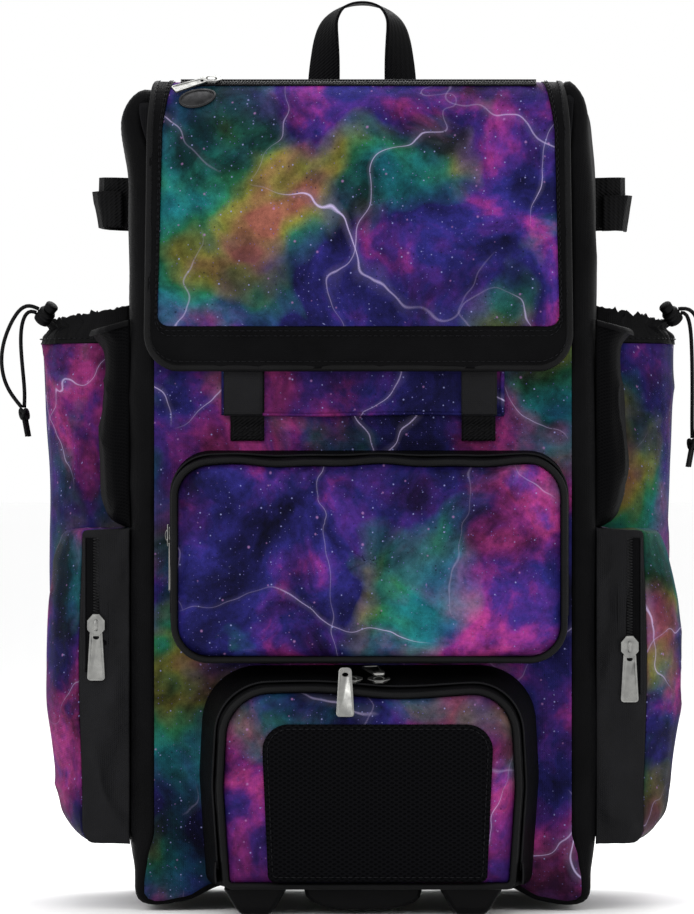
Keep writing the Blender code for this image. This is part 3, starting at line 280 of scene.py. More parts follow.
def sewn_cloth(name, grid, away_from, thickness, finish, replaces=(), puff=None, plan=False):
    """A piece of cloth with its thickness inwards. puff: (held, pressure, most) to settle it.
    plan: its grid shrinks to its middle, and its threads run level and upright."""
    grid = np.asarray(grid, float)
    rows, columns = grid.shape[:2]
    facing = np.cross(np.gradient(grid, axis=0), np.gradient(grid, axis=1))
    turn = np.sum(facing * outward(grid, away_from)) < 0
    count = columns - 1 if np.allclose(grid[:, 0], grid[:, -1]) else columns
    along, down = laid_flat(grid)
    faces = []
    places = []
    for i in range(rows - 1):
        for j in range(columns - 1):
            corners = [(i, j), (i + 1, j), (i + 1, j + 1), (i, j + 1)]
            if turn:
                corners.reverse()
            faces.append([a * count + b % count for a, b in corners])
            places += [tuple(grid[a, b][[0, 2]]) if plan else (along[a, b], down[a, b]) for a, b in corners]
    mesh = bpy.data.meshes.new(name)
    mesh.from_pydata((grid[:, :count] + (0, SETBACK, 0)).reshape(-1, 3).tolist(), [], faces)
    layer = mesh.uv_layers.new(name="cloth")
    layer.data.foreach_set("uv", np.array(places, np.float32).ravel())
    if plan:
        joined = bmesh.new()
        joined.from_mesh(mesh)
        bmesh.ops.remove_doubles(joined, verts=joined.verts, dist=0.00002)
        joined.to_mesh(mesh)
        joined.free()
    obj = placed(name, mesh, finish, replaces)
    if puff:
        settled(obj, *puff)
    wall = obj.modifiers.new("wall", "SOLIDIFY")
    wall.thickness = thickness
    wall.offset = -1
    applied(obj).data.shade_smooth()
    return obj


# A wave texture's Scale for bands one metre apart, and the settings of a Mix node for colours.
WAVE = 0.314
COLOURS = {"data_type": "RGBA"}
MULTIPLIED = {"data_type": "RGBA", "blend_type": "MULTIPLY"}


def black_cloth(name, thread, code="#070708", crumple=1.0, gloss=0.03):
    """Woven polyester, dyed black. Its threads show as a faint crossed grain with a soft sheen.
    The real threads are 0.4 mm apart, too fine to show here, so they are drawn wider."""
    made, node = material(name, 0.55, Specular_IOR_Level=gloss)
    place, solid = node("TexCoord", output="UV"), node("TexCoord", output="Object")
    threads = [node("TexWave", place, Scale=WAVE / thread, Distortion=0.6, Detail_Scale=3.0, bands_direction=way)
               for way in "XY"]
    worn = node("TexNoise", solid, Scale=28.0, Detail=4.0, Roughness=0.6)
    tone = node("MapRange", worn, 0.3, 0.75, 0.75, 1.5)
    node("Mix", Factor=1.0, A=linear(code), B=tone, **MULTIPLIED, to="Base Color")
    soft = node("TexNoise", solid, Scale=55.0, Detail=3.0)
    low = node("Bump", Height=soft, Strength=0.35 * crumple, Distance=0.004)
    weave = node("Math", *threads, operation="MULTIPLY")
    node("Bump", Height=weave, Strength=0.4, Distance=0.0005, Normal=low, to="Normal")
    return made


polyester = black_cloth("polyester, woven and dyed black", 0.0017)

GUSSET_PATH = (
    # across (share of the half width), up (share of the height), droop (share), lip (share)
    (0.850, 1.000, 0.00, 0.50), (0.925, 1.000, 0.00, 0.50), (0.978, 0.994, 0.00, 0.52), (1.000, 0.975, 0.00, 0.65),
    (1.000, 0.920, 0.00, 1.00), (1.000, 0.640, 0.00, 1.00), (1.000, 0.360, 0.00, 1.00), (1.000, 0.160, 0.00, 1.00),
    (1.000, 0.062, 0.00, 1.00), (0.988, 0.034, 0.00, 0.66), (0.960, 0.010, 0.00, 0.40), (0.928, 0.000, 0.55, 0.30),
    (0.885, 0.000, 0.93, 0.24), (0.840, 0.000, 1.00, 0.22), (0.735, 0.000, 0.82, 0.22), (0.660, 0.000, 0.28, 0.22),
    (0.605, 0.000, 0.00, 0.22), (0.000, 0.000, 0.00, 0.22),
)


def gusset_section(lip):
    """(depth, offset outwards) across the gusset from its front lip to its back lip."""
    radius = lip * ROUNDING
    front = [(FRONT + radius * (1 - math.cos(t)), radius * (math.sin(t) - 1)) for t in np.linspace(0, math.pi / 2, 7)]
    middle = [(share * HALF_DEPTH, BULGE * lip * lip * full) for share, full in ((-0.45, 0.8), (0, 1), (0.45, 0.8))]
    return front + middle + [(-y, n) for y, n in reversed(front)]


def side_at(y):
    """How far the body's side stands out from the middle at this depth."""
    section = gusset_section(1.0)
    return HALF_WIDTH + float(np.interp(y, [a for a, b in section], [b for a, b in section]))


SLUMPS = (
    # (x, z) of the middle, its reach across and up, the move across and up, and if it is at the front alone
    (-0.1715, 0.578, 0.030, 0.026, -0.0060, 0.0000, True), (-0.158, 0.600, 0.011, 0.020, 0.0, 0.0035, True),
    (0.1715, 0.592, 0.030, 0.045, -0.0052, 0.0000, True), (0.157, 0.600, 0.010, 0.020, -0.0015, 0.0105, True),
    (-0.160, 0.012, 0.016, 0.016, -0.0065, -0.0038, False), (0.160, 0.012, 0.016, 0.016, 0.0065, -0.0038, False),
)


def slumped(grid):
    """Soft corners: the upper ones stand or lean as the flap pulls them, and the lower ones are pointed."""
    moved = np.array(grid, float)
    for x, z, wide, high, over, up, at_front in SLUMPS:
        share = np.exp(-((grid[..., 0] - x) / wide) ** 2 - ((grid[..., 2] - z) / high) ** 2)
        if at_front:
            share = share * np.exp(-(np.clip(grid[..., 1] + 0.075, 0, None) / 0.055) ** 2)
        moved[..., 0] += over * share
        moved[..., 2] += up * share
    return moved


half = [(Vector((a * HALF_WIDTH, BASE + up * (BODY_TOP - BASE) - droop * DROOP)), lip)
        for a, up, droop, lip in GUSSET_PATH]
path = [(Vector((-p.x, p.y)), lip) for p, lip in half] + half[-2::-1]
grid = []
panel_edge = []
for i, (spot, lip) in enumerate(path):
    along = path[min(i + 1, len(path) - 1)][0] - path[max(i - 1, 0)][0]
    out = Vector((along.y, -along.x)).normalized()
    grid.append([(spot.x + out.x * n, y, spot.y + out.y * n) for y, n in gusset_section(lip)])
    panel_edge.append(spot - out * (lip * ROUNDING + GAP))
grid = softened(finer(grid, 380, 72), 2)
MIDDLE = (0.0, 0.0, 0.31)
grid = slumped(grid)
grid = folded(grid, MIDDLE, 0.0016, 0.055, 3, sewn="lr", seam=0.02, pucker=0.0007, stretch=(1, 1, 0.6))
sewn_cloth("gusset_cloth", grid, MIDDLE, 0.0028, polyester, ["gusset"])

# Front panel: the printed polyester face of the body, sewn in between the gusset's lips.
# It is lightly padded, so it is nearly flat, with soft dents between the pockets.


def printed_cloth(name, shift, turn=0.0, bright=1.0, plain_above=None):
    """Polyester with a dye print: clouds of violet, magenta, blue, teal and olive, marbled with pale
    veins and strewn with specks. shift and turn say where the piece was cut from the printed roll."""
    made, node = material(name, 0.62, Specular_IOR_Level=0.05)
    place, solid = node("TexCoord", output="UV"), node("TexCoord", output="Object")
    cut = node("Mapping", solid, Location=shift, Rotation=(0.0, turn, 0.0))
    drift = node("TexNoise", cut, Scale=8.0, Detail=3.0, output="Color")
    pushed = node("VectorMath", drift, (0.10, 0.10, 0.10), cut, operation="MULTIPLY_ADD")
    cloud = node("TexNoise", pushed, Scale=9.0, Detail=6.0, Roughness=0.58)
    hue = node("ValToRGB", cloud, stops=(
        (0.30, "#08071F"), (0.40, "#151545"), (0.46, "#232063"), (0.51, "#40226E"), (0.56, "#742770"),
        (0.61, "#9A3475"), (0.67, "#5C2C7C"), (0.78, "#31508F")))
    other = node("VectorMath", pushed, (3.7, 1.9, 5.3), operation="ADD")
    tint = node("ValToRGB", node("TexNoise", other, Scale=10.0, Detail=3.0), stops=(
        (0.38, "#144868"), (0.46, "#1A6C70"), (0.54, "#256A48"), (0.62, "#6E6E30"), (0.70, "#7C4A3E")))
    patch = node("MapRange", node("TexNoise", other, Scale=6.0, Detail=4.0), 0.545, 0.65)
    tinted = node("Mix", Factor=patch, A=hue, B=tint, **COLOURS)
    shade = node("TexNoise", other, Scale=14.0, Detail=6.0, Roughness=0.62)
    depth = node("MapRange", shade, 0.36, 0.60, 0.16 * bright, 1.16 * bright)
    sponge = node("TexNoise", cut, Scale=150.0, Detail=5.0, Roughness=0.75)
    mottle = node("MapRange", sponge, 0.3, 0.7, 0.62, 1.40)
    result = node("Mix", Factor=1.0, A=tinted, B=depth, **MULTIPLIED)
    result = node("Mix", Factor=1.0, A=result, B=mottle, **MULTIPLIED)
    # Veins: thin lines that flow across the cloth like those in marble, with a faint wide glow.
    some = node("MapRange", node("TexNoise", other, Scale=8.0, Detail=2.0), 0.44, 0.60)
    for period, angle, width, strength in ((0.150, 0.5, 0.0006, 0.58), (0.105, 2.3, 0.0005, 0.42)):
        field = node("TexWave", node("Mapping", pushed, Rotation=(0.0, angle, 0.0)), Scale=WAVE / period,
                     Distortion=3.2, Detail=3.0, Detail_Scale=2.2, Detail_Roughness=0.55, wave_profile="TRI")
        apart = node("Math", 1.0, field, operation="SUBTRACT")
        core = node("MapRange", apart, 0.0, 2.4 * width / period, strength, 0.0)
        glow = node("MapRange", apart, 0.0, 16.0 * width / period, 0.12 * strength, 0.0)
        vein = node("Math", node("Math", core, glow, operation="ADD"), some, operation="MULTIPLY")
        result = node("Mix", Factor=vein, A=result, B=linear("#CDBEEA"), **COLOURS)
    # Specks: a small round dot in some cells of four sizes, pale or dark, on the cloth's own flat pattern.
    for scale, size, code in ((300.0, 0.44, "#5C5596"), (135.0, 0.27, "#8E91C6"), (60.0, 0.16, "#A878B0"),
                              (150.0, 0.34, "#090718")):
        dots = node("TexVoronoi", place, Scale=scale, voronoi_dimensions="2D")
        chance = node("Math", node("SeparateColor", dots.node.outputs["Color"]), 0.72, operation="SUBTRACT")
        inside = node("Math", node("Math", chance, size, operation="MULTIPLY"), dots, operation="SUBTRACT")
        result = node("Mix", Factor=node("MapRange", inside, -0.04, 0.05, 0.0, 0.72), A=result, B=linear(code),
                      **COLOURS)
    if plain_above:
        above = node("Math", node("SeparateXYZ", solid, output="Z"), plain_above, operation="GREATER_THAN")
        result = node("Mix", Factor=above, A=result, B=linear("#0F0F11"), **COLOURS)
    made.node_tree.links.new(result, made.node_tree.nodes["Principled BSDF"].inputs["Base Color"])
    threads = [node("TexWave", place, Scale=WAVE / 0.0016, Distortion=0.5, bands_direction=way) for way in "XY"]
    soft = node("TexNoise", solid, Scale=60.0, Detail=3.0)
    low = node("Bump", Height=soft, Strength=0.25, Distance=0.003)
    weave = node("Math", *threads, operation="MULTIPLY")
    node("Bump", Height=weave, Strength=0.3, Distance=0.0004, Normal=low, to="Normal")
    return made


def panel_grid(y, around, inwards):
    """A grid over the outline that the gusset's lips leave, as shrinking rings at this depth."""
    outline = even([(p.x, p.y) for p in panel_edge + panel_edge[:1]], around + 1)
    centre = np.array([0.0, 0.31])
    shares = np.concatenate([[0.0, 0.012, 0.026], np.linspace(0.042, 1.0, inwards)])
    rings = [centre + (outline - centre) * (1 - share) for share in shares]
    return np.array([np.stack([ring[:, 0], np.full(len(ring), y), ring[:, 1]], axis=1) for ring in rings])


front_print = printed_cloth("polyester, dye printed, body", (0.31, 0.0, 1.27), bright=0.60, plain_above=0.50)
grid = folded(slumped(panel_grid(FRONT, 380, 60)), MIDDLE, 0.0011, 0.06, 5, sewn="t", seam=0.014, pucker=0.0005)
sewn_cloth("front_cloth", grid, MIDDLE, 0.0028, front_print, ["front_panel"], plan=True)

# Back panel: a foam-padded panel under black spacer mesh, with a channel sewn down its middle.
# It lies against the wearer's back and is sewn in between the gusset's lips.


def net_cloth(name, hole, code="#08080A"):
    """Knitted polyester mesh, black. Its open holes are painted as near-black dots between the lighter yarns, as
    painted shade in the holes.
    """
    made, node = material(name, 0.6, Specular_IOR_Level=0.02)
    place = node("TexCoord", output="UV")
    rows = [node("TexWave", node("Mapping", place, Rotation=(0.0, 0.0, turn)), Scale=WAVE / hole, Distortion=0.3)
            for turn in (math.radians(60), math.radians(-60))]
    holes = node("MapRange", node("Math", *rows, operation="MULTIPLY"), 0.25, 0.55)
    # Painted shade: the holes get a near-black colour for the shade that lies in them.
    node("Mix", Factor=holes, A=linear(code), B=linear("#020203"), **COLOURS, to="Base Color")
    node("Bump", Height=holes, Strength=0.8, Distance=0.0008, invert=True, to="Normal")
    return made


spacer = net_cloth("polyester spacer mesh, knitted", 0.0034)
grid = slumped(panel_grid(HALF_DEPTH, 360, 56))
middle_z = (BODY_TOP + BASE) / 2
wide = np.clip((0.95 - np.abs(grid[..., 0]) / 0.1532) / 0.06, 0, 1)
high = np.clip((0.905 - np.abs(grid[..., 2] - middle_z) / (middle_z - BASE)) / 0.05, 0, 1)
channel = 1 - 0.75 * np.exp(-(grid[..., 0] / 0.006) ** 2)
puffed = np.sin(np.minimum(wide, high) * math.pi / 2) * channel
grid[..., 1] += 0.008 * puffed
grid = folded(grid, MIDDLE, 0.0009, 0.05, 7, sewn="t", seam=0.02, pucker=0.0006)
sewn_cloth("back_mesh", grid, MIDDLE, 0.003, spacer, ["back_panel"], plan=True,
           puff=(lambda p: p.y < HALF_DEPTH + SETBACK + 0.0012 or abs(p.x) < 0.004, 2.5, 0.004))

# Flap: a printed panel with a broad black border, sewn to the back and folded over the front.
# Its edge is bound with tape, and a zip crosses it at the top of the fold.
FLAP_THICKNESS = 0.005
FLAP_TOP = BODY_TOP + 0.005 + FLAP_THICKNESS
FLAP_BOTTOM = 0.398
FLAP_FOLD = 0.036
FLAP_STANDOFF = 0.016
FLAP_HALF_WIDTH = 0.155
FLAP_BORDER = 0.031
FLAP_CORNER = 0.025
FLAP_SHIFT = -0.0033
PRINT_CORNER = 0.008
TAIL_Y = HALF_DEPTH + GAP + FLAP_THICKNESS
TAIL_ARC = 0.014
flap_front = FRONT - FLAP_STANDOFF
fold_end = FLAP_TOP - FLAP_FOLD
profile = [(TAIL_Y, BODY_TOP - 0.024), (TAIL_Y, FLAP_TOP - TAIL_ARC)]
profile += [(TAIL_Y - TAIL_ARC * (1 - math.cos(t)), FLAP_TOP - TAIL_ARC * (1 - math.sin(t)))
            for t in np.radians((18, 36, 54, 72, 90))]
profile += [(0.05, FLAP_TOP + 0.0006), (0.0, FLAP_TOP)]
profile += [(flap_front + FLAP_FOLD * (1 - math.sin(t)), FLAP_TOP - FLAP_FOLD * (1 - math.cos(t)))
            for t in np.radians(np.linspace(0, 90, 13))]
profile += [(flap_front + lean * FLAP_STANDOFF, fold_end + drop * (FLAP_BOTTOM - fold_end))
            for drop, lean in ((0.4, 0.0), (0.6, 0.01), (0.8, 0.05), (0.92, 0.13), (1.0, 0.22))]
profile = np.array(profile)
flap_reach = far_along(profile)
FLAP_LENGTH = float(flap_reach[-1])
FOLD_START = float(flap_reach[9])
FOLD_END = float(flap_reach[21])
way = np.gradient(profile, axis=0)
flap_course = np.hstack([profile, unit(np.stack([way[:, 1], -way[:, 0]], axis=1))])


def on_flap(x, s, offset=0.0):
    """The point of the flap's outer side at this place of its flat pattern, moved out by offset."""
    y, z, out_y, out_z = read_at(s, flap_reach, flap_course)
    return (x + FLAP_SHIFT, y + out_y * offset, z + out_z * offset)


def flap_half(s, shares):
    """Half the flap's width at this place. shares: of its widest, at its tail, the fold's two ends and its edge."""
    return FLAP_HALF_WIDTH * float(np.interp(s, (0, FOLD_START, FOLD_END, FLAP_LENGTH), shares))


edge_half = partial(flap_half, shares=(0.942, 0.955, 0.984, 1.0))
print_half = partial(flap_half, shares=(0.865, 0.868, 0.925, 0.955))


ZIP_TILT = math.radians(22)
zip_middle = FOLD_START + FLAP_FOLD * ZIP_TILT
print_end = FLAP_LENGTH - FLAP_BORDER
turns = np.radians(np.linspace(0, 90, 9))
corner_half = print_half(print_end - PRINT_CORNER)
rows = [(s, print_half(s)) for s in np.linspace(0, print_end - PRINT_CORNER, 110)[:-1]]
rows += [(print_end - PRINT_CORNER * (1 - math.sin(t)), corner_half - PRINT_CORNER * (1 - math.cos(t)))
         for t in turns]
grid = np.array([[on_flap(share * wide_here, s, 0.0) for share in np.linspace(-1, 1, 80)] for s, wide_here in rows])
far = from_edge(grid, "tblr")
grid += outward(grid, MIDDLE) * (0.0012 * np.clip(far / 0.02, 0, 1) - 0.0006)[..., None]
flat = grid
grid = folded(grid, MIDDLE, 0.0016, 0.07, 11, seam=0.02, pucker=0.0007)
by_zip = np.exp(-((np.array([s for s, wide_here in rows]) - zip_middle) / 0.012) ** 4)
grid = grid + (flat - grid) * by_zip[:, None, None]
flap_print = printed_cloth("polyester, dye printed, flap", (0.0, 0.0, 0.42), 0.5, 0.92)
flap = sewn_cloth("flap_print", grid, MIDDLE, 0.0042, flap_print, ["flap_panel"])

corner_start = print_end - PRINT_CORNER
outer_corner = FLAP_LENGTH - FLAP_CORNER
border_rows = [((edge_half(s), s), (print_half(s) + GAP, s)) for s in np.linspace(0, corner_start, 110)[:-1]
               if s < outer_corner - 0.004]
widest = edge_half(outer_corner)
hem_corner = PRINT_CORNER + GAP
for t in np.linspace(0, 1, 14) * math.pi / 2:
    border_rows.append(((widest - FLAP_CORNER * (1 - math.cos(t)), outer_corner + FLAP_CORNER * math.sin(t)),
                        (corner_half + GAP - hem_corner * (1 - math.cos(t)), corner_start + hem_corner * math.sin(t))))
(low_edge, _), (low_hem, _) = border_rows[-1]
for share in np.linspace(1, 0, 40)[1:]:
    border_rows.append(((share * low_edge, FLAP_LENGTH), (share * low_hem, print_end + GAP)))
border = [((-a[0], a[1]), (-b[0], b[1])) for a, b in border_rows] + border_rows[-2::-1]
grid = np.array([[on_flap(a[0] + (b[0] - a[0]) * share, a[1] + (b[1] - a[1]) * share, 0.0)
                  for share in np.linspace(0, 1, 12)] for a, b in border])
grid = folded(grid, MIDDLE, 0.0014, 0.035, 13, sewn="r", seam=0.006, pucker=0.0006)
sewn_cloth("flap_edge_cloth", grid, MIDDLE, 0.0042, polyester, ["flap_border"])


def finished(shape, name, finish, replaces=()):
    """Makes a finished bmesh a piece of the bag."""
    mesh = bpy.data.meshes.new(name)
    shape.to_mesh(mesh)
    shape.free()
    return placed(name, mesh, finish, replaces)


def tube(name, line, radius, finish, replaces=(), closed=False, sides=10, flat=1.0, out=None):
    """A round or flattened roll along a line, as a mesh with its own UV in metres."""
    line = np.asarray(line, float)
    count = len(line)
    way = np.roll(line, -1, 0) - np.roll(line, 1, 0)
    if not closed:
        way[0] = line[1] - line[0]
        way[-1] = line[-1] - line[-2]
    way = unit(way)
    u = np.array(Vector(way[0]).orthogonal()[:]) if out is None else np.asarray(out, float)
    far = far_along(line)
    shape = bmesh.new()
    layer = shape.loops.layers.uv.new("cloth")
    rings = []
    for i in range(count):
        u = unit(u - way[i] * np.dot(u, way[i]))
        v = np.cross(way[i], u)
        rings.append([shape.verts.new(line[i] + (0, SETBACK, 0) + radius * (flat * math.cos(t) * u + math.sin(t) * v))
                      for t in np.linspace(0, 2 * math.pi, sides, endpoint=False)])
    girth = 2 * math.pi * radius / sides
    for i in range(count if closed else count - 1):
        low, high = rings[i], rings[(i + 1) % count]
        end = far[i + 1] if i + 1 < count else far[-1] + 0.003
        for k in range(sides):
            face = shape.faces.new((low[k], low[(k + 1) % sides], high[(k + 1) % sides], high[k]))
            for loop, spot in zip(face.loops, ((k * girth, far[i]), ((k + 1) * girth, far[i]),
                                               ((k + 1) * girth, end), (k * girth, end))):
                loop[layer].uv = spot
    if not closed:
        shape.faces.new(list(reversed(rings[0])))
        shape.faces.new(rings[-1])
    return finished(shape, name, finish, replaces)


binding_cloth = black_cloth("polyester binding tape, woven black", 0.0014, code="#0A0A0B", crumple=0.5, gloss=0.09)
edge_line = np.array([on_flap(a[0] - 0.0004 * (1 if a[0] > 0 else -1), min(a[1], FLAP_LENGTH - 0.0006), -0.0022)
                      for a, b in border])
tube("flap_binding", even(edge_line, 330), 0.0030, binding_cloth, sides=12)

# Front pockets: boxes of black polyester with a padded printed face, and a round piping in the seam.
# Each is zipped round its wall, and sewn to the front panel by the wall's foot.
CLOTH = 0.002
POCKET_SHIFT = 0.0045
MIDDLE_HALF_WIDTH = 0.1445
MIDDLE_LOW = 0.183
MIDDLE_HIGH = 0.338
MIDDLE_DEPTH = 0.035
MIDDLE_CORNER = 0.028
MIDDLE_SLOPE = 0.006
PIPING = 0.0025
LOWER_HALF_WIDTH = 0.1235
LOWER_HIGH = 0.1806
LOWER_DEPTH = 0.050
LOWER_CORNER = 0.042
LOWER_TAPER = 0.0135
LOWER_CROWN = 0.006
LOWER_LOW = BASE + GAP


def ring_of(corners, distance=0.0, count=240):
    """Even points round an outline with rounded corners, moved inwards. corners: (x, z, radius)."""
    number = len(corners)
    places = [Vector(c[:2]) for c in corners]
    moved = []
    for i, spot in enumerate(places):
        a = (spot - places[i - 1]).normalized()
        b = (places[(i + 1) % number] - spot).normalized()
        along = (a + b).normalized()
        moved.append(spot + Vector((-along.y, along.x)) * (distance / max(0.5, along.dot(a))))
    outline = []
    for i, here in enumerate(moved):
        radius = max(corners[i][2] - distance, 0.0015)
        a = (moved[i - 1] - here).normalized()
        b = (moved[(i + 1) % number] - here).normalized()
        half_turn = a.angle(b) / 2
        centre = here + (a + b).normalized() * (radius / math.sin(half_turn))
        first = here + a * (radius / math.tan(half_turn)) - centre
        last = here + b * (radius / math.tan(half_turn)) - centre
        sweep_angle = first.angle(last)
        for share in np.linspace(0, 1, 12):
            spoke = first * math.sin((1 - share) * sweep_angle) + last * math.sin(share * sweep_angle)
            outline.append(centre + spoke / math.sin(sweep_angle))
    outline.append(outline[0])
    return even([(p.x, p.y) for p in outline], count + 1)


def sagged(points, front_share=1.0):
    """The pocket's points with its upper edge slack: it dips and rises a little along its length."""
    moved = np.array(points, float)
    x, z = moved[..., 0], moved[..., -1]
    low, high = (MIDDLE_LOW, MIDDLE_HIGH) if z.mean() > 0.21 else (LOWER_LOW, LOWER_HIGH)
    amount = np.clip((z - low) / (high - low) - 0.55, 0, 0.35) / 0.35
    if low == LOWER_LOW:
        wave = -0.0042 * np.exp(-((x - 0.020) / 0.040) ** 2) - 0.0010 * np.cos((x + 0.10) * 40)
    else:
        wave = 0.0009 * np.sin(x * 55 + 1.0) + 0.0006 * np.sin(x * 120)
    moved[..., -1] = z + wave * amount * front_share
    return moved


def middle_corners(share):
    """The middle pocket's corners, from its foot (share 0) to its front edge (share 1)."""
    left, right = POCKET_SHIFT - MIDDLE_HALF_WIDTH, POCKET_SHIFT + MIDDLE_HALF_WIDTH
    top = MIDDLE_HIGH - share * MIDDLE_SLOPE
    return [(x, z, MIDDLE_CORNER) for x, z in ((left, MIDDLE_LOW), (right, MIDDLE_LOW), (right, top), (left, top))]


LOWER_CORNERS = ((-0.965, 0.00, 0.20), (0.965, 0.00, 0.20), (1.010, 0.50, 2.0), (0.975, 1.00, 1.0),
                 (-0.975, 1.00, 1.0), (-1.010, 0.50, 2.0))


def lower_corners(share):
    """The lower pocket's corners, from its foot (share 0) to its narrower front edge (share 1)."""
    taper = share * LOWER_TAPER
    return [(POCKET_SHIFT + a * (LOWER_HALF_WIDTH - taper), LOWER_LOW + up * (LOWER_HIGH - LOWER_LOW - taper),
             r * (LOWER_CORNER - taper * 0.4)) for a, up, r in LOWER_CORNERS]


def pocket_wall(name, corners_at, depth, node_name, seed, count):
    """The black wall between a pocket's foot and its front edge."""
    grid = []
    for share in np.linspace(0, 1, 14):
        y = FRONT - GAP - share * (depth - GAP)
        grid.append(sagged([(x, y, z) for x, z in ring_of(corners_at(share), 0.0, count)], share))
    grid = np.array(grid)
    centre = (POCKET_SHIFT, FRONT - depth / 2, float(grid[..., 2].mean()))
    grid = folded(grid, centre, 0.0009, 0.03, seed, sewn="tb", seam=0.008, pucker=0.0005)
    sewn_cloth(name, grid, centre, CLOTH, polyester, [node_name])


def pocket_face(corners, crown, shoulder, low_share, seed, y, count):
    """The padded printed face, crowned in the middle and puckered at its seam."""
    low = min(c[1] for c in corners)
    high = max(c[1] for c in corners)
    outline = ring_of(corners, 2 * PIPING + GAP, count)
    centre = np.array([(outline[:-1, 0].min() + outline[:-1, 0].max()) / 2, (low + high) / 2])
    half_w = np.ptp(outline[:, 0]) / 2
    rows = []
    for share in np.linspace(0, 1, 27) ** 0.8:
        ring = centre + (outline - centre) * (1 - share)
        step_in = share * min(half_w, (high - low) / 2)
        rise = np.interp(step_in / shoulder, (0, 0.12, 0.28, 0.45, 0.7, 1.0), (0, 0.42, 0.68, 0.86, 0.96, 1.0))
        amount = rise * (low_share + (1 - low_share) * np.clip((ring[:, 1] - low) / 0.02, 0, 1))
        rows.append(np.stack([ring[:, 0], y - amount * crown, ring[:, 1]], axis=1))
    grid = folded(sagged(rows), (centre[0], 0.0, centre[1]), 0.0010, 0.045, seed, sewn="t", seam=0.010, pucker=0.0009)
    grid[-1] = grid[-1].mean(axis=0)
    return grid


FRONT_POCKETS = (
    # name, corners, depth, points round it, its folds' seeds, where its print was cut and how bright it is,
    # its crown, how far in the crown is full, the crown's share at its low edge, and if it is settled
    ("middle", middle_corners, MIDDLE_DEPTH, 260, (17, 23), (0.62, 0.2, 0.33), 0.92, 0.0065, 0.016, 1.0, True),
    ("lower", lower_corners, LOWER_DEPTH, 240, (19, 29), (1.4, 0.0, 0.9), 0.68, LOWER_CROWN, 0.010, 0.25, False),
)
for word, corners_at, depth, count, seeds, cut_from, bright, crown, shoulder, low_share, puffed in FRONT_POCKETS:
    pocket_wall(f"{word}_wall_cloth", corners_at, depth, f"{word}_pocket_wall", seeds[0], count)
    line = ring_of(corners_at(1.0), PIPING, 220)[:-1]
    line = sagged([(x, FRONT - depth - GAP - PIPING, z) for x, z in line])
    tube(f"{word}_piping_cloth", line, PIPING, binding_cloth, [f"{word}_pocket_piping"], closed=True,
         sides=12, out=(0, -1, 0))
    cut = printed_cloth(f"polyester, dye printed, {word} pocket", cut_from, 0.9, bright)
    grid = pocket_face(corners_at(1.0), crown, shoulder, low_share, seeds[1], FRONT - depth - PIPING, count)
    seam_y = FRONT - depth - PIPING + SETBACK - 0.0010
    face = sewn_cloth(f"{word}_face_print", grid, (0, 0, 0.2), 0.0016, cut, [f"{word}_pocket_face"],
                      plan=True, puff=(lambda p: p.y > seam_y, 2.0, 0.0025) if puffed else None)

# Mesh panel: an arch of black knitted mesh on the lower pocket's face, in one layer.
# Its edge is turned under and sewn down all round.
mesh_cloth = net_cloth("polyester mesh, knitted black", 0.0030)
MESH_HALF_WIDTH = 0.0844
MESH_TOP = 0.1395
MESH_CORNER = 0.019
mesh_centre = POCKET_SHIFT + 0.006
mesh_low = LOWER_LOW + 2 * PIPING + GAP + 0.0006
plateau = FRONT - LOWER_DEPTH - PIPING - LOWER_CROWN
MESH_OUTLINE = [(mesh_centre + a * MESH_HALF_WIDTH, z, radius) for a, z, radius in (
    (-0.94, mesh_low, 0.25 * MESH_CORNER), (0.94, mesh_low, 0.25 * MESH_CORNER),
    (1.0, MESH_TOP, MESH_CORNER), (-1.0, MESH_TOP, MESH_CORNER))]
outline = ring_of(MESH_OUTLINE, 0.0, 200)
centre = np.array([mesh_centre, (mesh_low + MESH_TOP) / 2])
rows = []
for share in np.linspace(0, 1, 26):
    ring = centre + (outline - centre) * (1 - share)
    rise = 0.0016 * min(1.0, share * 9)
    rows.append(np.stack([ring[:, 0], np.full(len(ring), plateau - 0.0012 - rise * 0.4), ring[:, 1]], axis=1))
grid = folded(np.array(rows), (mesh_centre, 0, 0.08), 0.0007, 0.035, 31, sewn="t", seam=0.01, pucker=0.0006)
grid[-1] = grid[-1].mean(axis=0)
sewn_cloth("lower_mesh_cloth", grid, (mesh_centre, 0, 0.08), 0.0009, mesh_cloth, ["lower_pocket_mesh"],
           plan=True)

# Webbing: the carrying handle, and the two straps that hang from the printed band across the front.
# It is woven black polyester, 25 mm wide, cut hot and stitched down at its ends.
WEBBING_WIDTH = 0.025
WEBBING = 0.0018
BAND_HALF_WIDTH = 0.1035
BAND_LOW = 0.364
BAND_HIGH = 0.430
BAND_THICKNESS = 0.002
STRAP_SPREAD = 0.0848
STRAP_LOW = 0.345
# Polyester webbing, woven flat with heavy ribs. Its colour is painted lighter and darker with the ribs: painted
# highlights on them and painted shade between them.
webbing, node = material("polyester webbing, woven and dyed black", 0.6, Specular_IOR_Level=0.05)
place = node("TexCoord", output="UV")
skew = node("Mapping", place, Rotation=(0.0, 0.0, math.radians(38)))
ribs = node("Math", node("TexWave", skew, Scale=WAVE / 0.0021, Distortion=0.4, bands_direction="Y"),
            node("TexWave", place, Scale=WAVE / 0.0042), operation="ADD")
# The ribs lighten and darken the base colour: a painted highlight and painted shade.
node("Mix", Factor=1.0, A=linear("#09090A"), B=node("MapRange", ribs, 0.0, 2.0, 0.6, 1.5), **MULTIPLIED,
     to="Base Color")
node("Bump", Height=ribs, Strength=0.6, Distance=0.0006, to="Normal")


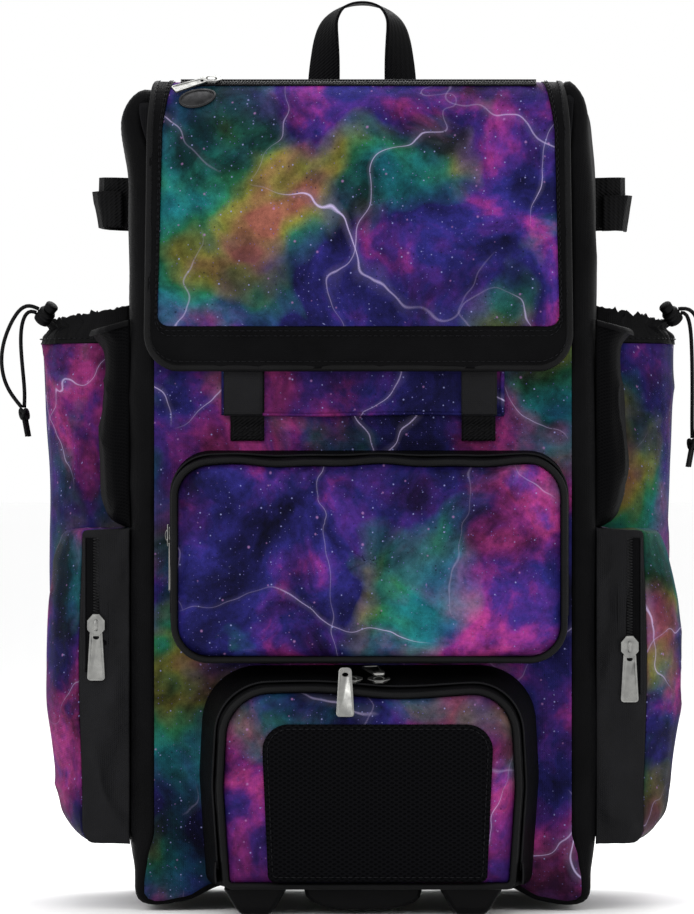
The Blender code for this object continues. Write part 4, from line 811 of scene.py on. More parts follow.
def strap(name, centres, widths, half_width, thickness, finish, replaces=(), rows=80, away_from=MIDDLE):
    """A flat strap laid along its centre line, slightly crowned across its width."""
    centres = np.asarray(centres, float)
    both = even(np.concatenate([centres, np.asarray(widths, float) * 0.001], axis=1), rows)
    line, across = both[:, :3], both[:, 3:]
    way = unit(np.gradient(line, axis=0))
    across = unit(across - way * np.sum(across * way, axis=1, keepdims=True))
    shares = np.linspace(-1, 1, 9)
    grid = line[:, None] + across[:, None] * (shares * half_width)[None, :, None]
    facing = outward(grid, away_from)
    grid = grid + facing * (thickness / 2 - 0.0003 * np.abs(shares) ** 4)[None, :, None]
    return sewn_cloth(name, grid, away_from, thickness, finish, replaces)


HANDLE_PATH = ((1.000, 0.000, 0), (1.000, 0.200, 0), (0.985, 0.420, 14), (0.955, 0.600, 30), (0.930, 0.720, 42),
               (0.880, 0.815, 54), (0.770, 0.890, 66), (0.560, 0.955, 78), (0.290, 0.990, 86), (0.000, 1.000, 90))
handle_y = TAIL_Y + GAP + WEBBING / 2
handle_low = BODY_TOP - 0.022
HANDLE_TOP = 0.684
HANDLE_HALF_WIDTH = 0.030
rows = [(-a, up, 180 - turn) for a, up, turn in HANDLE_PATH] + list(HANDLE_PATH[-2::-1])


def eased(points, shares):
    """Points on a smooth curve through these, at the same shares between each point and the next."""
    points = np.array(points, float)
    curve = []
    for i in range(len(points) - 1):
        a, b, c, d = [points[min(max(k, 0), len(points) - 1)] for k in (i - 1, i, i + 1, i + 2)]
        curve += [0.5 * (2 * b + (c - a) * share + (2 * a - 5 * b + 4 * c - d) * share ** 2
                         + (3 * b - a - 3 * c + d) * share ** 3) for share in shares]
    return curve + [points[-1]]


fine = eased(rows, (0.0, 0.25, 0.5, 0.75))
strap("handle_webbing",
      [(a * HANDLE_HALF_WIDTH, handle_y, handle_low + up * (HANDLE_TOP - handle_low)) for a, up, turn in fine],
      [(math.cos(math.radians(t)), math.sin(math.radians(t)), 0) for a, up, t in fine],
      WEBBING_WIDTH / 2, WEBBING, webbing, ["carry_handle"], 120, (0.0, 0.1158, 0.62))

band_y = FRONT - GAP - BAND_THICKNESS
shares = np.linspace(0, 1, 22)
grid = np.array([[(x, band_y - 0.0009 * math.exp(-(((z - BAND_LOW) / 0.0035) ** 2)), z)
                  for x in np.linspace(-BAND_HALF_WIDTH, BAND_HALF_WIDTH, 90)]
                 for z in BAND_HIGH + (BAND_LOW - BAND_HIGH) * shares])
grid = folded(grid, MIDDLE, 0.0008, 0.04, 37, sewn="tlr", seam=0.01, pucker=0.0006)
band_print = printed_cloth("polyester, dye printed, band", (2.2, 0.4, 1.9), 0.2, 0.5)
sewn_cloth("band_print", grid, MIDDLE, 0.0016, band_print, ["cross_band"])
for word, side in (("left", -1), ("right", 1)):
    run = [(side * STRAP_SPREAD, band_y - GAP - WEBBING / 2, BAND_HIGH),
           (side * STRAP_SPREAD, band_y - GAP - WEBBING / 2, BAND_LOW - 0.003),
           (side * STRAP_SPREAD, FRONT - GAP - WEBBING / 2, BAND_LOW - 0.0075),
           (side * STRAP_SPREAD, FRONT - GAP - WEBBING / 2, STRAP_LOW)]
    strap(f"band_webbing_{word}", run, [(1, 0, 0)] * 4, WEBBING_WIDTH / 2, WEBBING, webbing,
          [f"band_strap_{word}"], 40)

# Side pockets: a zipped pocket with a black front and a printed side, and a mesh pocket above it.
# Behind both stands a printed sleeve for a bat, open at the top with a gathered black rim.
SIDE_CLOTH = 0.0017
SIDE_FRONT = -0.100
SIDE_BACK = -0.010
SIDE_LOW = 0.050
SIDE_HIGH = 0.281
SIDE_REACH = 0.062
NET_HIGH = 0.436
NET_REACH = 0.028
SLEEVE_FRONT = SIDE_BACK + 0.004
SLEEVE_BACK = 0.110
SLEEVE_LOW = 0.060
SLEEVE_HIGH = 0.4186
SLEEVE_REACH = 0.0699
RIM_HEIGHT = 0.026


def slider_height(side):
    """How high a side pocket's slider stands. The right one is pulled a little lower."""
    return SIDE_LOW + 0.69 * (SIDE_HIGH - SIDE_LOW) - (0.016 if side > 0 else 0.0)


def side_grid(side, levels, plan, front, back, rows, columns, rounding=2, seam=None):
    """A fine grid for cloth that stands out from the body's side.
    levels: (height, reach) upwards. plan: (depth share, reach share) from front to back.
    seam: (share, reach): the seam at this share of the plan keeps this reach where the pocket narrows."""
    coarse = []
    for height, reach in levels:
        first, last = height if isinstance(height, tuple) else (height, height)
        row = []
        for deep, out in plan:
            if seam:
                here = min(0.97, max(seam[0], seam[1] / max(reach, 0.001)))
                if out <= seam[0]:
                    out = out * here / seam[0]
                elif deep < 0.5:
                    out = here + (out - seam[0]) * (1 - here) / (1 - seam[0])
            row.append((side * (side_at(front + (back - front) * deep) + 2 * GAP + out * reach),
                        front + (back - front) * deep, first + (last - first) * deep))
        coarse.append(row)
    return softened(finer(coarse, rows, columns), rounding)


WALL_PLAN = ((0.000, 0.00), (0.008, 0.22), (0.020, 0.42), (0.055, 0.60))
PANEL_PLAN = ((0.060, 0.61), (0.130, 0.75), (0.260, 0.90), (0.460, 1.00), (0.700, 0.97), (0.880, 0.84),
              (0.970, 0.60), (1.000, 0.00))
SIDE_LEVELS = ((-0.008, 0.06), (-0.006, 0.50), (0.030, 0.66), (0.085, 0.82), (0.180, 0.90), (0.420, 0.985),
               (0.589, 1.00), (0.771, 0.97), (0.930, 0.86), (0.992, 0.76), (1.000, 0.06))
SIDE_SEAM = (0.605, 0.0350)
ZIP_SHARE = 0.41
ZIP_OUT = ZIP_SHARE * SIDE_REACH
SLEEVE_PLAN = ((0.00, 0.00), (0.01, 0.38), (0.06, 0.64), (0.15, 0.82), (0.30, 0.95), (0.50, 1.00), (0.70, 0.95),
               (0.85, 0.82), (0.94, 0.64), (0.99, 0.38), (1.00, 0.00))
SLEEVE_LEVELS = ((0.000, 0.06), (0.012, 0.62), (0.060, 0.82), (0.250, 0.88), (0.500, 0.90), (0.750, 0.93), (1.0, 1.0))
NET_PLAN = ((0.00, 0.00), (0.04, 0.55), (0.16, 0.88), (0.36, 1.00), (0.62, 1.00), (0.84, 0.86), (0.96, 0.52),
            (1.00, 0.00))
NET_LEVELS = ((0.000, 0.06), (0.015, 0.30), (0.060, 0.55), (0.150, 0.73), (0.300, 0.80), (0.450, 0.79), (0.620, 0.70),
              (0.780, 0.62), (0.900, 0.66), (0.965, 0.84), (1.000, 0.93))
SIDES = (("left", -1, 1.00), ("right", 1, 0.90))
pocket_cloth = black_cloth("polyester, woven and dyed black, side pockets", 0.0016, "#0F0F11", 1.4, 0.09)
rim_polyester = black_cloth("polyester, woven and dyed black, sleeve rims", 0.0016, "#0A0A0B", 1.3, 0.05)
net = net_cloth("polyester mesh, knitted black, side pockets", 0.0022, "#060607")
for word, side, fullness in SIDES:
    beside = (side * HALF_WIDTH, -0.045, 0.16)
    levels = [(SIDE_LOW + up * (SIDE_HIGH - SIDE_LOW), share * SIDE_REACH) for up, share in SIDE_LEVELS]
    grid = side_grid(side, levels, WALL_PLAN, SIDE_FRONT, SIDE_BACK, 96, 26, 1, SIDE_SEAM)
    flat = grid
    grid = folded(grid, beside, 0.0052, 0.042, 41 + side, sewn="lr", seam=0.012, pucker=0.0006, stretch=(1, 1, 0.75))
    # The cloth lies flat under the zip and the pull, and a narrow ridge crosses its inner part.
    off_pull = (side * grid[..., 0] - side_at(SIDE_FRONT) - ZIP_OUT) / 0.013
    below_pull = np.clip(slider_height(side) - 0.017 - grid[..., 2], 0, None) / 0.032
    grid = grid + (flat - grid) * np.exp(-off_pull ** 4 - below_pull ** 4)[..., None]
    reach_share = (np.abs(grid[..., 0]) - HALF_WIDTH) / SIDE_REACH
    grid[..., 1] += 0.0008 * np.exp(-((grid[..., 2] - 0.197) / 0.0016) ** 2) * (reach_share < 0.34)
    sewn_cloth(f"pocket_front_{word}", grid, beside, SIDE_CLOTH, pocket_cloth,
               [f"side_pocket_wall_{word}"])
    grid = side_grid(side, levels, PANEL_PLAN, SIDE_FRONT, SIDE_BACK, 96, 54, 2, SIDE_SEAM)
    grid = folded(grid, beside, 0.0026, 0.050, 43 + side, sewn="lr", seam=0.014, pucker=0.0008)
    cut = printed_cloth(f"polyester, dye printed, {word} pocket side", (0.9 + side, 1.1, 0.62), bright=0.62)
    sewn_cloth(f"pocket_side_{word}", grid, beside, SIDE_CLOTH, cut, [f"side_pocket_panel_{word}"])
    levels = [(SLEEVE_LOW + up * (SLEEVE_HIGH - SLEEVE_LOW), share * SLEEVE_REACH * (1 + (fullness - 1) * up))
              for up, share in SLEEVE_LEVELS]
    beside = (side * HALF_WIDTH, 0.05, 0.25)
    grid = side_grid(side, levels, SLEEVE_PLAN, SLEEVE_FRONT, SLEEVE_BACK, 112, 72, 3)
    grid = folded(grid, beside, 0.0030, 0.060, 47 + side, sewn="tlr", seam=0.016, pucker=0.0009, stretch=(1, 1, 0.7))
    cut = printed_cloth(f"polyester, dye printed, {word} sleeve", (1.9, 0.7 + side, 2.6), bright=0.58)
    sewn_cloth(f"sleeve_print_{word}", grid, beside, SIDE_CLOTH, cut, [f"bat_sleeve_{word}"])
    net_low = SIDE_HIGH + GAP
    levels = [((net_low + up * (NET_HIGH - net_low) - up * 0.003, net_low + up * (NET_HIGH - net_low)),
               share * NET_REACH) for up, share in NET_LEVELS]
    beside = (side * HALF_WIDTH, -0.05, 0.35)
    grid = side_grid(side, levels, NET_PLAN, SIDE_FRONT, SIDE_BACK, 52, 46, 3)
    grid = folded(grid, beside, 0.0022, 0.035, 53 + side, sewn="tlr", seam=0.010, pucker=0.0008)
    stands = (side * grid[..., 0] - HALF_WIDTH) / NET_REACH
    high = (grid[..., 2] - net_low) / (NET_HIGH - net_low)
    grid[..., 2] -= 0.0085 * np.clip(stands, 0, 1) * np.clip(high, 0, 1) ** 5
    netting = sewn_cloth(f"side_net_{word}", grid, beside, 0.0012, net, [f"mesh_pocket_{word}"])
    mouth = grid[-1] + (grid[-2] - grid[-1]) * 0.2
    tube(f"net_binding_{word}", even(mouth, 60), 0.0027, polyester, sides=12, flat=0.42,
         out=(side, 0, 0))

# Gathered rims: the upper edges of the bat sleeves, of soft black polyester sewn to the printed cloth.
# A drawcord runs through the turned top, so the cloth stands in small pleats.
RIM_LEVELS = ((0.00, 1.000), (0.35, 0.965), (0.70, 0.890), (0.86, 0.900), (1.00, 0.935))
RIM_ROUNDING = 2.6
LOCK_AT = 0.22


def rim_round(share):
    """How far the sleeve's mouth stands out at this share of its depth, as a share of its reach."""
    return (1 - abs(2 * share - 1) ** RIM_ROUNDING) ** (1 / RIM_ROUNDING)


for word, side, fullness in SIDES:
    rows = []
    for up in np.linspace(0, 1, 22):
        row = []
        reach = SLEEVE_REACH * fullness * float(np.interp(up, *zip(*RIM_LEVELS)))
        pinch = math.exp(-((up - 0.72) / 0.12) ** 2)
        for around in np.linspace(0, math.pi, 170):
            share = 0.5 - 0.5 * math.cos(around)
            round_share = rim_round(share)
            open_share = min(1.0, round_share * 2)
            y = SLEEVE_FRONT + (SLEEVE_BACK - SLEEVE_FRONT) * share
            pleat = (noise.noise(Vector((around * 7.0, up * 1.1, side * 4.0)) * 1.6) * 1.1
                     + noise.noise(Vector((around * 19.0, up * 1.5, side))) * 0.8)
            depth = (0.0008 + 0.0040 * up) * pleat * open_share - 0.0012 * pinch
            x = side * (side_at(y) + 2 * GAP + round_share * reach + depth * open_share)
            ruffle = 0.0042 * max(0.0, up - 0.55) / 0.45 * noise.noise(Vector((around * 24.0, 3.0, side * 2.0)))
            high = up * (RIM_HEIGHT + 0.0025 - 0.0125 * round_share)
            row.append((x, y, SLEEVE_HIGH + GAP + high + ruffle))
        rows.append(row)
    gathers = sewn_cloth(f"rim_cloth_{word}", np.array(rows), (side * HALF_WIDTH, 0.05, 0.43), 0.0016, rim_polyester,
                         [f"sleeve_rim_{word}"])

# Bat straps: loops of wider black webbing that hold a bat's handle to the bag's side.
# Each is sewn on in front and behind, with its loose end folded over the loop.
LOOP_PLAN = ((0.00, 0.00), (0.02, 0.45), (0.10, 0.80), (0.28, 0.97), (0.50, 1.00), (0.72, 0.97), (0.90, 0.80),
             (0.98, 0.45), (1.00, 0.00))
BAT_STRAP_LOW = 0.506
BAT_STRAP_HEIGHT = 0.038
BAT_STRAP_REACH = 0.0255
for word, side, fullness in SIDES:
    levels = [(BAT_STRAP_LOW, BAT_STRAP_REACH), (BAT_STRAP_LOW + BAT_STRAP_HEIGHT, BAT_STRAP_REACH)]
    beside = (side * HALF_WIDTH, 0.05, 0.52)
    grid = side_grid(side, levels, LOOP_PLAN, 0.015, 0.085, 14, 56, 0)
    grid[..., 2] += 0.0012 * np.sin(np.linspace(0, 3.0, 56))[None]
    grid = folded(grid, beside, 0.0007, 0.03, 59 + side, sewn="lr", seam=0.01)
    sewn_cloth(f"bat_webbing_{word}", grid, beside, WEBBING, webbing, [f"bat_strap_{word}"])
    tab = grid[:, 3:30] + outward(grid, beside)[:, 3:30] * 0.0026
    tab_shares = (tab[..., 2] - BAT_STRAP_LOW) / BAT_STRAP_HEIGHT
    tab[..., 2] = BAT_STRAP_LOW - 0.001 - 0.0015 * side + tab_shares * 1.08 * WEBBING_WIDTH
    tab = tab + outward(tab, beside) * (0.0018 * np.linspace(1, 0, 27) ** 2)[None, :, None]
    stands = np.clip((side * tab[..., 0] - HALF_WIDTH - 0.015) / 0.010, 0, 1)
    tab[..., 0] += side * 0.0045 * (tab_shares - 0.45) * stands
    sewn_cloth(f"bat_webbing_end_{word}", tab, beside, WEBBING, webbing)

# Drawcords: 3 mm braided polyester cord. Its two strands leave a spring lock of moulded nylon,
# hang past the rim, and end together in a knot.
CORD_RADIUS = 0.0015
LOCK_RADIUS = 0.0065
braided, node = material("polyester cord, braided and dyed black", 0.6, Specular_IOR_Level=0.10)
place = node("TexCoord", output="UV")
plait = node("Math", *[node("TexWave", node("Mapping", place, Rotation=(0.0, 0.0, math.radians(turn))),
                            Scale=WAVE / 0.0018, bands_direction="Y") for turn in (35, -35)], operation="MAXIMUM")
# The plait lightens and darkens the base colour: a painted highlight on the strands and painted shade between them.
node("Mix", Factor=1.0, A=linear("#0A0A0B"), B=node("MapRange", plait, 0.0, 1.0, 0.5, 1.4), **MULTIPLIED,
     to="Base Color")
node("Bump", Height=plait, Strength=0.7, Distance=0.0004, to="Normal")
CORD_ROUTES = {
    ("left", "front"): ((0.0135, 0.001, 0.0110), (0.0215, 0.000, 0.0020), (0.0290, 0.000, -0.0130),
                        (0.0330, 0.000, -0.0320), (0.0290, 0.000, -0.0530), (0.0170, 0.000, -0.0690)),
    ("left", "rear"): ((0.0120, 0.000, 0.0068), (0.0172, 0.000, -0.0040), (0.0182, 0.000, -0.0200),
                       (0.0165, 0.000, -0.0420), (0.0150, 0.000, -0.0580), (0.0155, 0.000, -0.0690)),
    ("right", "front"): ((0.0120, 0.001, 0.0090), (0.0190, 0.000, 0.0000), (0.0205, 0.000, -0.0160),
                         (0.0215, 0.000, -0.0340), (0.0225, 0.000, -0.0560), (0.0200, 0.000, -0.0740),
                         (0.0165, 0.000, -0.0920)),
    ("right", "rear"): ((0.0100, 0.000, 0.0070), (0.0135, 0.000, -0.0060), (0.0145, 0.000, -0.0220),
                        (0.0150, 0.000, -0.0430), (0.0150, 0.000, -0.0650), (0.0148, 0.000, -0.0800),
                        (0.0150, 0.000, -0.0920)),
}


def lock_place(side, fullness):
    """The middle of the cord lock, just outside the rim, and the way its button points."""
    y = SLEEVE_FRONT + LOCK_AT * (SLEEVE_BACK - SLEEVE_FRONT)
    stand = rim_round(LOCK_AT) * SLEEVE_REACH * fullness * 0.93 + 0.0016
    rim = Vector((side * (side_at(y) + GAP + stand), y, SLEEVE_HIGH + 0.80 * RIM_HEIGHT))
    axis = (Vector((-side * 0.78, -0.62, 0.0)) * 0.70 + Vector((0.0, 0.0, 0.71))).normalized()
    return rim + Vector((side * 0.62, -0.78, 0.0)) * (LOCK_RADIUS + 4 * GAP), axis


for word, side, fullness in SIDES:
    centre, axis = lock_place(side, fullness)
    exit_way = Vector((side * 0.76, 0.0, 0.65))
    exit_way = (exit_way - axis * exit_way.dot(axis)).normalized()
    ends = []
    strands = []
    for strand, apart in (("front", -1), ("rear", 1)):
        route = [centre + exit_way * (LOCK_RADIUS + GAP) - axis * apart * 1.25 * CORD_RADIUS]
        route += [centre + Vector((side * out, apart * 1.25 * CORD_RADIUS - ahead, up))
                  for out, ahead, up in CORD_ROUTES[(word, strand)]]
        line = even(eased([p[:] for p in route], [k / 20 for k in range(20)]), 44)
        for _ in range(20):
            line[1:-1] = (line[:-2] + 2 * line[1:-1] + line[2:]) / 4
        line = even(line, 40)
        cord = tube(f"cord_{word}_{strand}", line, CORD_RADIUS, braided, [f"drawcord_{word}_{strand}"],
                    sides=10)
        strands.append((cord, line))
        ends.append(route[-1])
    meet = (ends[0] + ends[1]) / 2
    top = Vector((meet.x, meet.y, min(ends[0].z, ends[1].z) - 2 * GAP))
    down = Vector((-side * 0.18, 0.0, -0.98)).normalized()
    turns = np.linspace(0, 2 * math.pi, 60)[:-1]
    trefoil = [top + down * 0.0042 + Vector((0.0011 * (math.sin(t) + 2 * math.sin(2 * t)),
                                             0.0011 * (math.cos(t) - 2 * math.cos(2 * t)), -0.0034 * math.sin(3 * t)))
               for t in turns]
    knot = tube(f"knot_{word}", trefoil, 0.0014, braided, [f"cord_knot_{word}"], closed=True, sides=8)
    for apart in (-1, 1):
        line = [top + down * far + Vector((0.0009 * apart, 0.0016 * apart, 0.0)) for far in (0.0050, 0.0130, 0.0215)]
        tube(f"knot_tail_{word}_{'front' if apart < 0 else 'rear'}", even(line, 8), 0.0014, braided,
                          sides=8)
    for number, (cord, line) in enumerate(strands):
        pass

# Feet and grip: black nylon, injection moulded with a fine sparked grain, screwed on under the base.
# Their solids are shown as they are. The cord locks further down are of the same nylon.
nylon, node = material("nylon, injection moulded black", 0.44, Specular_IOR_Level=0.07)
solid = node("TexCoord", output="Object")
scuff = node("TexNoise", solid, Scale=45.0, Detail=5.0, Roughness=0.7)
node("ValToRGB", scuff, stops=((0.40, "#040405"), (0.62, "#070708"), (0.75, "#0F0F10")), to="Base Color")
node("MapRange", scuff, 0.35, 0.75, 0.38, 0.6, to="Roughness")
node("Bump", Height=node("TexNoise", solid, Scale=900.0, Detail=2.0), Strength=0.3, Distance=0.0002, to="Normal")
for node_name in ("front_foot_left", "front_foot_right", "rear_foot_left", "rear_foot_right", "base_grip"):
    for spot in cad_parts[node_name].material_slots:
        spot.material = nylon

# Shoulder straps: foam pads in black polyester, curved for the shoulders, sewn in at the back's top.
# Webbing runs from each pad's end down to the back's lower corner.
PAD_WIDTH = 0.065
PAD_THICKNESS = 0.012
PAD_TOP = 0.552
PAD_END = 0.220
BACK_FACE = HALF_DEPTH + 0.008
PAD_PATH = ((0.00, 0.00, 0.00), (0.08, 0.02, 0.00), (0.18, 0.22, 0.05), (0.30, 0.52, 0.10), (0.45, 0.82, 0.18),
            (0.62, 1.00, 0.28), (0.80, 0.98, 0.40), (1.00, 0.80, 0.52))
TAIL_PATH = ((0.30, 0.52, 0.68), (0.60, 0.24, 0.84), (0.85, 0.05, 0.97), (0.94, 0.00, 1.00), (1.00, 0.00, 1.00))
PAD_AT_TOP = 0.048
PAD_SPREAD = HALF_WIDTH - 0.0535 - PAD_AT_TOP
PAD_BEHIND = 0.052
TAIL_LOW = 0.062
for word, side in (("left", -1), ("right", 1)):
    line = even([(side * (PAD_AT_TOP + a * PAD_SPREAD), BACK_FACE + GAP + PAD_THICKNESS / 2 + behind * PAD_BEHIND,
                  PAD_TOP - down * (PAD_TOP - PAD_END)) for down, behind, a in PAD_PATH], 90)
    line = softened(line[:, None].repeat(3, 1), 6)[:, 1]
    way = unit(np.gradient(line, axis=0))
    across = unit(np.array([1.0, 0.0, 0.0]) - way * way[:, :1])
    out = np.cross(way, across)
    turns = np.linspace(0, 2 * math.pi, 49)
    wide = np.sign(np.cos(turns)) * np.abs(np.cos(turns)) ** 0.30
    thick = np.sign(np.sin(turns)) * np.abs(np.sin(turns)) ** 0.62
    seam_line = 1 - 0.45 * np.exp(-((np.abs(wide) - 0.86) / 0.035) ** 2)
    ends_in = np.clip(np.minimum(np.arange(90), 89 - np.arange(90)) / 4.0, 0, 1)[:, None] ** 0.5
    half_wide = (wide * PAD_WIDTH / 2) * (0.90 + 0.10 * ends_in)
    half_thick = (thick * seam_line * PAD_THICKNESS / 2) * (0.25 + 0.75 * ends_in)
    grid = line[:, None] + across[:, None] * half_wide[..., None] + out[:, None] * half_thick[..., None]
    shape = bmesh.new()
    layer = shape.loops.layers.uv.new("cloth")
    rings = [[shape.verts.new(p) for p in ring] for ring in grid[:, :-1] + (0, SETBACK, 0)]
    for i in range(89):
        for k in range(48):
            face = shape.faces.new((rings[i][k], rings[i][(k + 1) % 48], rings[i + 1][(k + 1) % 48], rings[i + 1][k]))
            for loop, spot in zip(face.loops, ((k, i), (k + 1, i), (k + 1, i + 1), (k, i + 1))):
                loop[layer].uv = (spot[0] * 0.0031, spot[1] * 0.0041)
    shape.faces.new(rings[0])
    shape.faces.new(rings[-1])
    bmesh.ops.recalc_face_normals(shape, faces=shape.faces)
    pad = finished(shape, f"pad_cloth_{word}", polyester, [f"shoulder_pad_{word}"])
    joined = BACK_FACE + GAP + PAD_THICKNESS / 2 + 0.80 * PAD_BEHIND
    foot_y = BACK_FACE + GAP + WEBBING / 2
    end = Vector((side * (PAD_AT_TOP + 0.52 * PAD_SPREAD), joined, PAD_END))
    onward = Vector(way[-1]).normalized()
    tail = [end + onward * 2 * GAP, end + onward * WEBBING_WIDTH / 4]
    tail += [(side * (PAD_AT_TOP + a * PAD_SPREAD), foot_y + (joined - foot_y) * behind / 0.80,
              PAD_END - down * (PAD_END - TAIL_LOW)) for down, behind, a in TAIL_PATH]
    strap(f"pad_webbing_{word}", [tuple(p) for p in tail], [(1, 0, 0)] * len(tail), WEBBING_WIDTH / 2, WEBBING,
          webbing, [f"shoulder_webbing_{word}"], 70)

# Band straps' keepers: black cloth loops folded over the band, which hold its two straps on it.
# They end at the band's turned lower edge, and are a little wider than the webbing.
for word, side, wide, shift in (("left", -1, 0.0143, -0.0030), ("right", 1, 0.0131, 0.0004)):
    across = side * STRAP_SPREAD + shift
    run = [(across, band_y - 2 * GAP - WEBBING - 0.0006, BAND_HIGH - 0.002),
           (across, band_y - 2 * GAP - WEBBING - 0.0010, BAND_LOW + 0.014),
           (across, band_y - 2 * GAP - WEBBING - 0.0004, BAND_LOW - 0.0005)]
    strap(f"band_keeper_{word}", run, [(1, 0, 0)] * 3, wide, 0.0011, pocket_cloth, rows=30)
hem = [(x, band_y - 0.0011 + 0.0003 * math.sin(x * 90), BAND_LOW + 0.0006 + 0.0006 * math.sin(x * 41))
       for x in np.linspace(-BAND_HALF_WIDTH, BAND_HALF_WIDTH, 90)]
tube("band_hem_print", hem, 0.0013, band_print, sides=10)
for word, side in (("left", -1), ("right", 1)):
    roll = [(side * (BAND_HALF_WIDTH - 0.0012), band_y - 0.0009, z) for z in np.linspace(BAND_LOW, BAND_HIGH, 40)]
    tube(f"band_end_print_{word}", roll, 0.0016, band_print, sides=10)

# Zips: a nylon coil on a woven tape, across the flap's fold, round each front pocket and up each side
# pocket. The tape is sewn under two narrow lips of cloth. The turns are drawn wider than the real 1.3 mm.
COIL_PITCH = 0.0021
COIL_HALF_WIDTH = 0.0021
COIL_HALF_HEIGHT = 0.00035
COIL_WIRE = 0.00030
TAPE_HALF_WIDTH = 0.0056
coil_nylon, node = material("nylon monofilament, wound into a coil", 0.35, Specular_IOR_Level=0.25)
rubbed = node("TexNoise", node("TexCoord", output="Object"), Scale=70.0, Detail=3.0)
node("ValToRGB", rubbed, stops=((0.35, "#08080A"), (0.65, "#141416")), to="Base Color")
node("MapRange", rubbed, 0.0, 1.0, 0.3, 0.5, to="Roughness")
tape_cloth = black_cloth("polyester zip tape, twill woven black", 0.0013, code="#050506", crumple=0.2)


def zipped(name, line, outs, rise, replaces=(), tape_half=TAPE_HALF_WIDTH):
    """A zip along a line: its tape, its coil and the two lips of cloth beside it, facing outs."""
    line = even(line, max(24, int(far_along(line)[-1] / 0.004)))
    outs = even(outs, len(line)) if len(outs) > 1 else np.repeat(outs, len(line), axis=0)
    way = unit(np.gradient(line, axis=0))
    outs = unit(outs - way * np.sum(outs * way, axis=1, keepdims=True))
    across = np.cross(way, outs)
    shares = np.linspace(-1, 1, 5)[None, :, None]
    tape = line[:, None] + across[:, None] * shares * tape_half + outs[:, None] * (rise + 0.0004)
    sewn_cloth(f"{name}_tape", tape, line.mean(axis=0) - outs.mean(axis=0) * 0.4, 0.0005, tape_cloth,
               replaces)
    turns = int(far_along(line)[-1] / COIL_PITCH)
    at = np.linspace(0, 1, turns * 8 + 1)
    spread = [read_at(at, np.linspace(0, 1, len(line)), part) for part in (line, outs, across)]
    angle = at * turns * 2 * math.pi
    wire = (spread[0] + spread[2] * (COIL_HALF_WIDTH * np.cos(angle))[:, None]
            + spread[1] * (rise + 0.0003 + COIL_HALF_HEIGHT * (1 + np.sin(angle)))[:, None])
    tube(f"{name}_coil", wire, COIL_WIRE, coil_nylon, sides=4)
    for number, apart in enumerate((-1, 1)):
        edge = line + across * (apart * (tape_half - 0.0006)) + outs * (rise + 0.0003)
        tube(f"{name}_lip_{number}", edge, 0.0008, pocket_cloth, sides=8)


zip_half = print_half(zip_middle) - 0.006
zip_out = (0.0, -math.sin(ZIP_TILT), math.cos(ZIP_TILT))
zipped("flap_zip_row", np.array([on_flap(x, zip_middle, 0.0) for x in np.linspace(-zip_half, zip_half, 90)]),
       np.array([zip_out]), 0.0009, ["flap_zip"])
MIDDLE_ZIP = 0.60
LOWER_ZIP = 0.80
for word, corners_at, depth, share, low_end in (
        ("middle", middle_corners, MIDDLE_DEPTH, MIDDLE_ZIP, MIDDLE_LOW + 0.034),
        ("lower", lower_corners, LOWER_DEPTH, LOWER_ZIP, LOWER_LOW + 0.012)):
    ring = ring_of(corners_at(share), 0.0, 300)
    steps = len(ring) - 1
    turn = next(k for k in range(steps) if ring[k][1] > low_end and ring[k - 1][1] <= low_end)
    kept = sorted((k for k in range(steps) if ring[k][1] > low_end), key=lambda k: (k - turn) % steps)
    line = np.array([(ring[k][0], FRONT - share * depth, ring[k][1]) for k in kept])
    inside = np.array([POCKET_SHIFT, 0.0, float(ring[:, 1].mean())])
    around = np.gradient(line, axis=0)
    outs = np.stack([around[:, 2], np.zeros(len(line)), -around[:, 0]], axis=1)
    outs = unit(outs * np.sign(np.sum(outs * (line - inside), axis=1, keepdims=True)))
    zipped(f"{word}_zip", sagged(line, share), outs, 0.0)
# The lower pocket's zip ends under a folded patch of cloth on each side; line is still that zip's.
for x, y, z in (line[0], line[-1]):
    side_word, side = ("left", -1) if x < POCKET_SHIFT else ("right", 1)
    patch = np.array([[(x + side * (0.0022 + 0.0006 * math.sin(b * 3)), y + a * 0.012, z - 0.010 + 0.016 * b)
                       for a in np.linspace(-1, 1, 12)] for b in np.linspace(0, 1, 10)])
    sewn_cloth(f"lower_zip_end_{side_word}", patch, inside, 0.0014, pocket_cloth)
level_ups, level_shares = zip(*SIDE_LEVELS)
wall_deeps, wall_outs = zip(*WALL_PLAN)
for word, side, fullness in SIDES:
    line = []
    for up in np.linspace(0.54 - (0.07 if side > 0 else 0.0), 0.968, 40):
        reach = float(np.interp(up, level_ups, level_shares)) * SIDE_REACH
        boundary = min(0.97, max(SIDE_SEAM[0], SIDE_SEAM[1] / reach))
        deep = float(np.interp(ZIP_OUT / reach * SIDE_SEAM[0] / boundary, wall_outs, wall_deeps))
        line.append((side * (side_at(SIDE_FRONT) + ZIP_OUT), SIDE_FRONT + (SIDE_BACK - SIDE_FRONT) * deep,
                     SIDE_LOW + up * (SIDE_HIGH - SIDE_LOW)))
    zipped(f"side_zip_{word}", np.array(line), np.array([(0.0, -1.0, 0.0)]), -0.0001, tape_half=0.0090)

# Sliders and pulls: zinc, die cast and tumbled, then plated with satin nickel. The pulls are bare.
# Each slider is two plates on a neck with a bail over it, and its pull hangs from the bail.
SLIDER_WIDTH = 0.0115
SLIDER_LENGTH = 0.013
SLIDER_HEIGHT = 0.0045
PULL_LENGTH = 0.034
PULL_TOP_WIDTH = 0.0090
PULL_END_WIDTH = 0.0132
PULL_THICKNESS = 0.0015


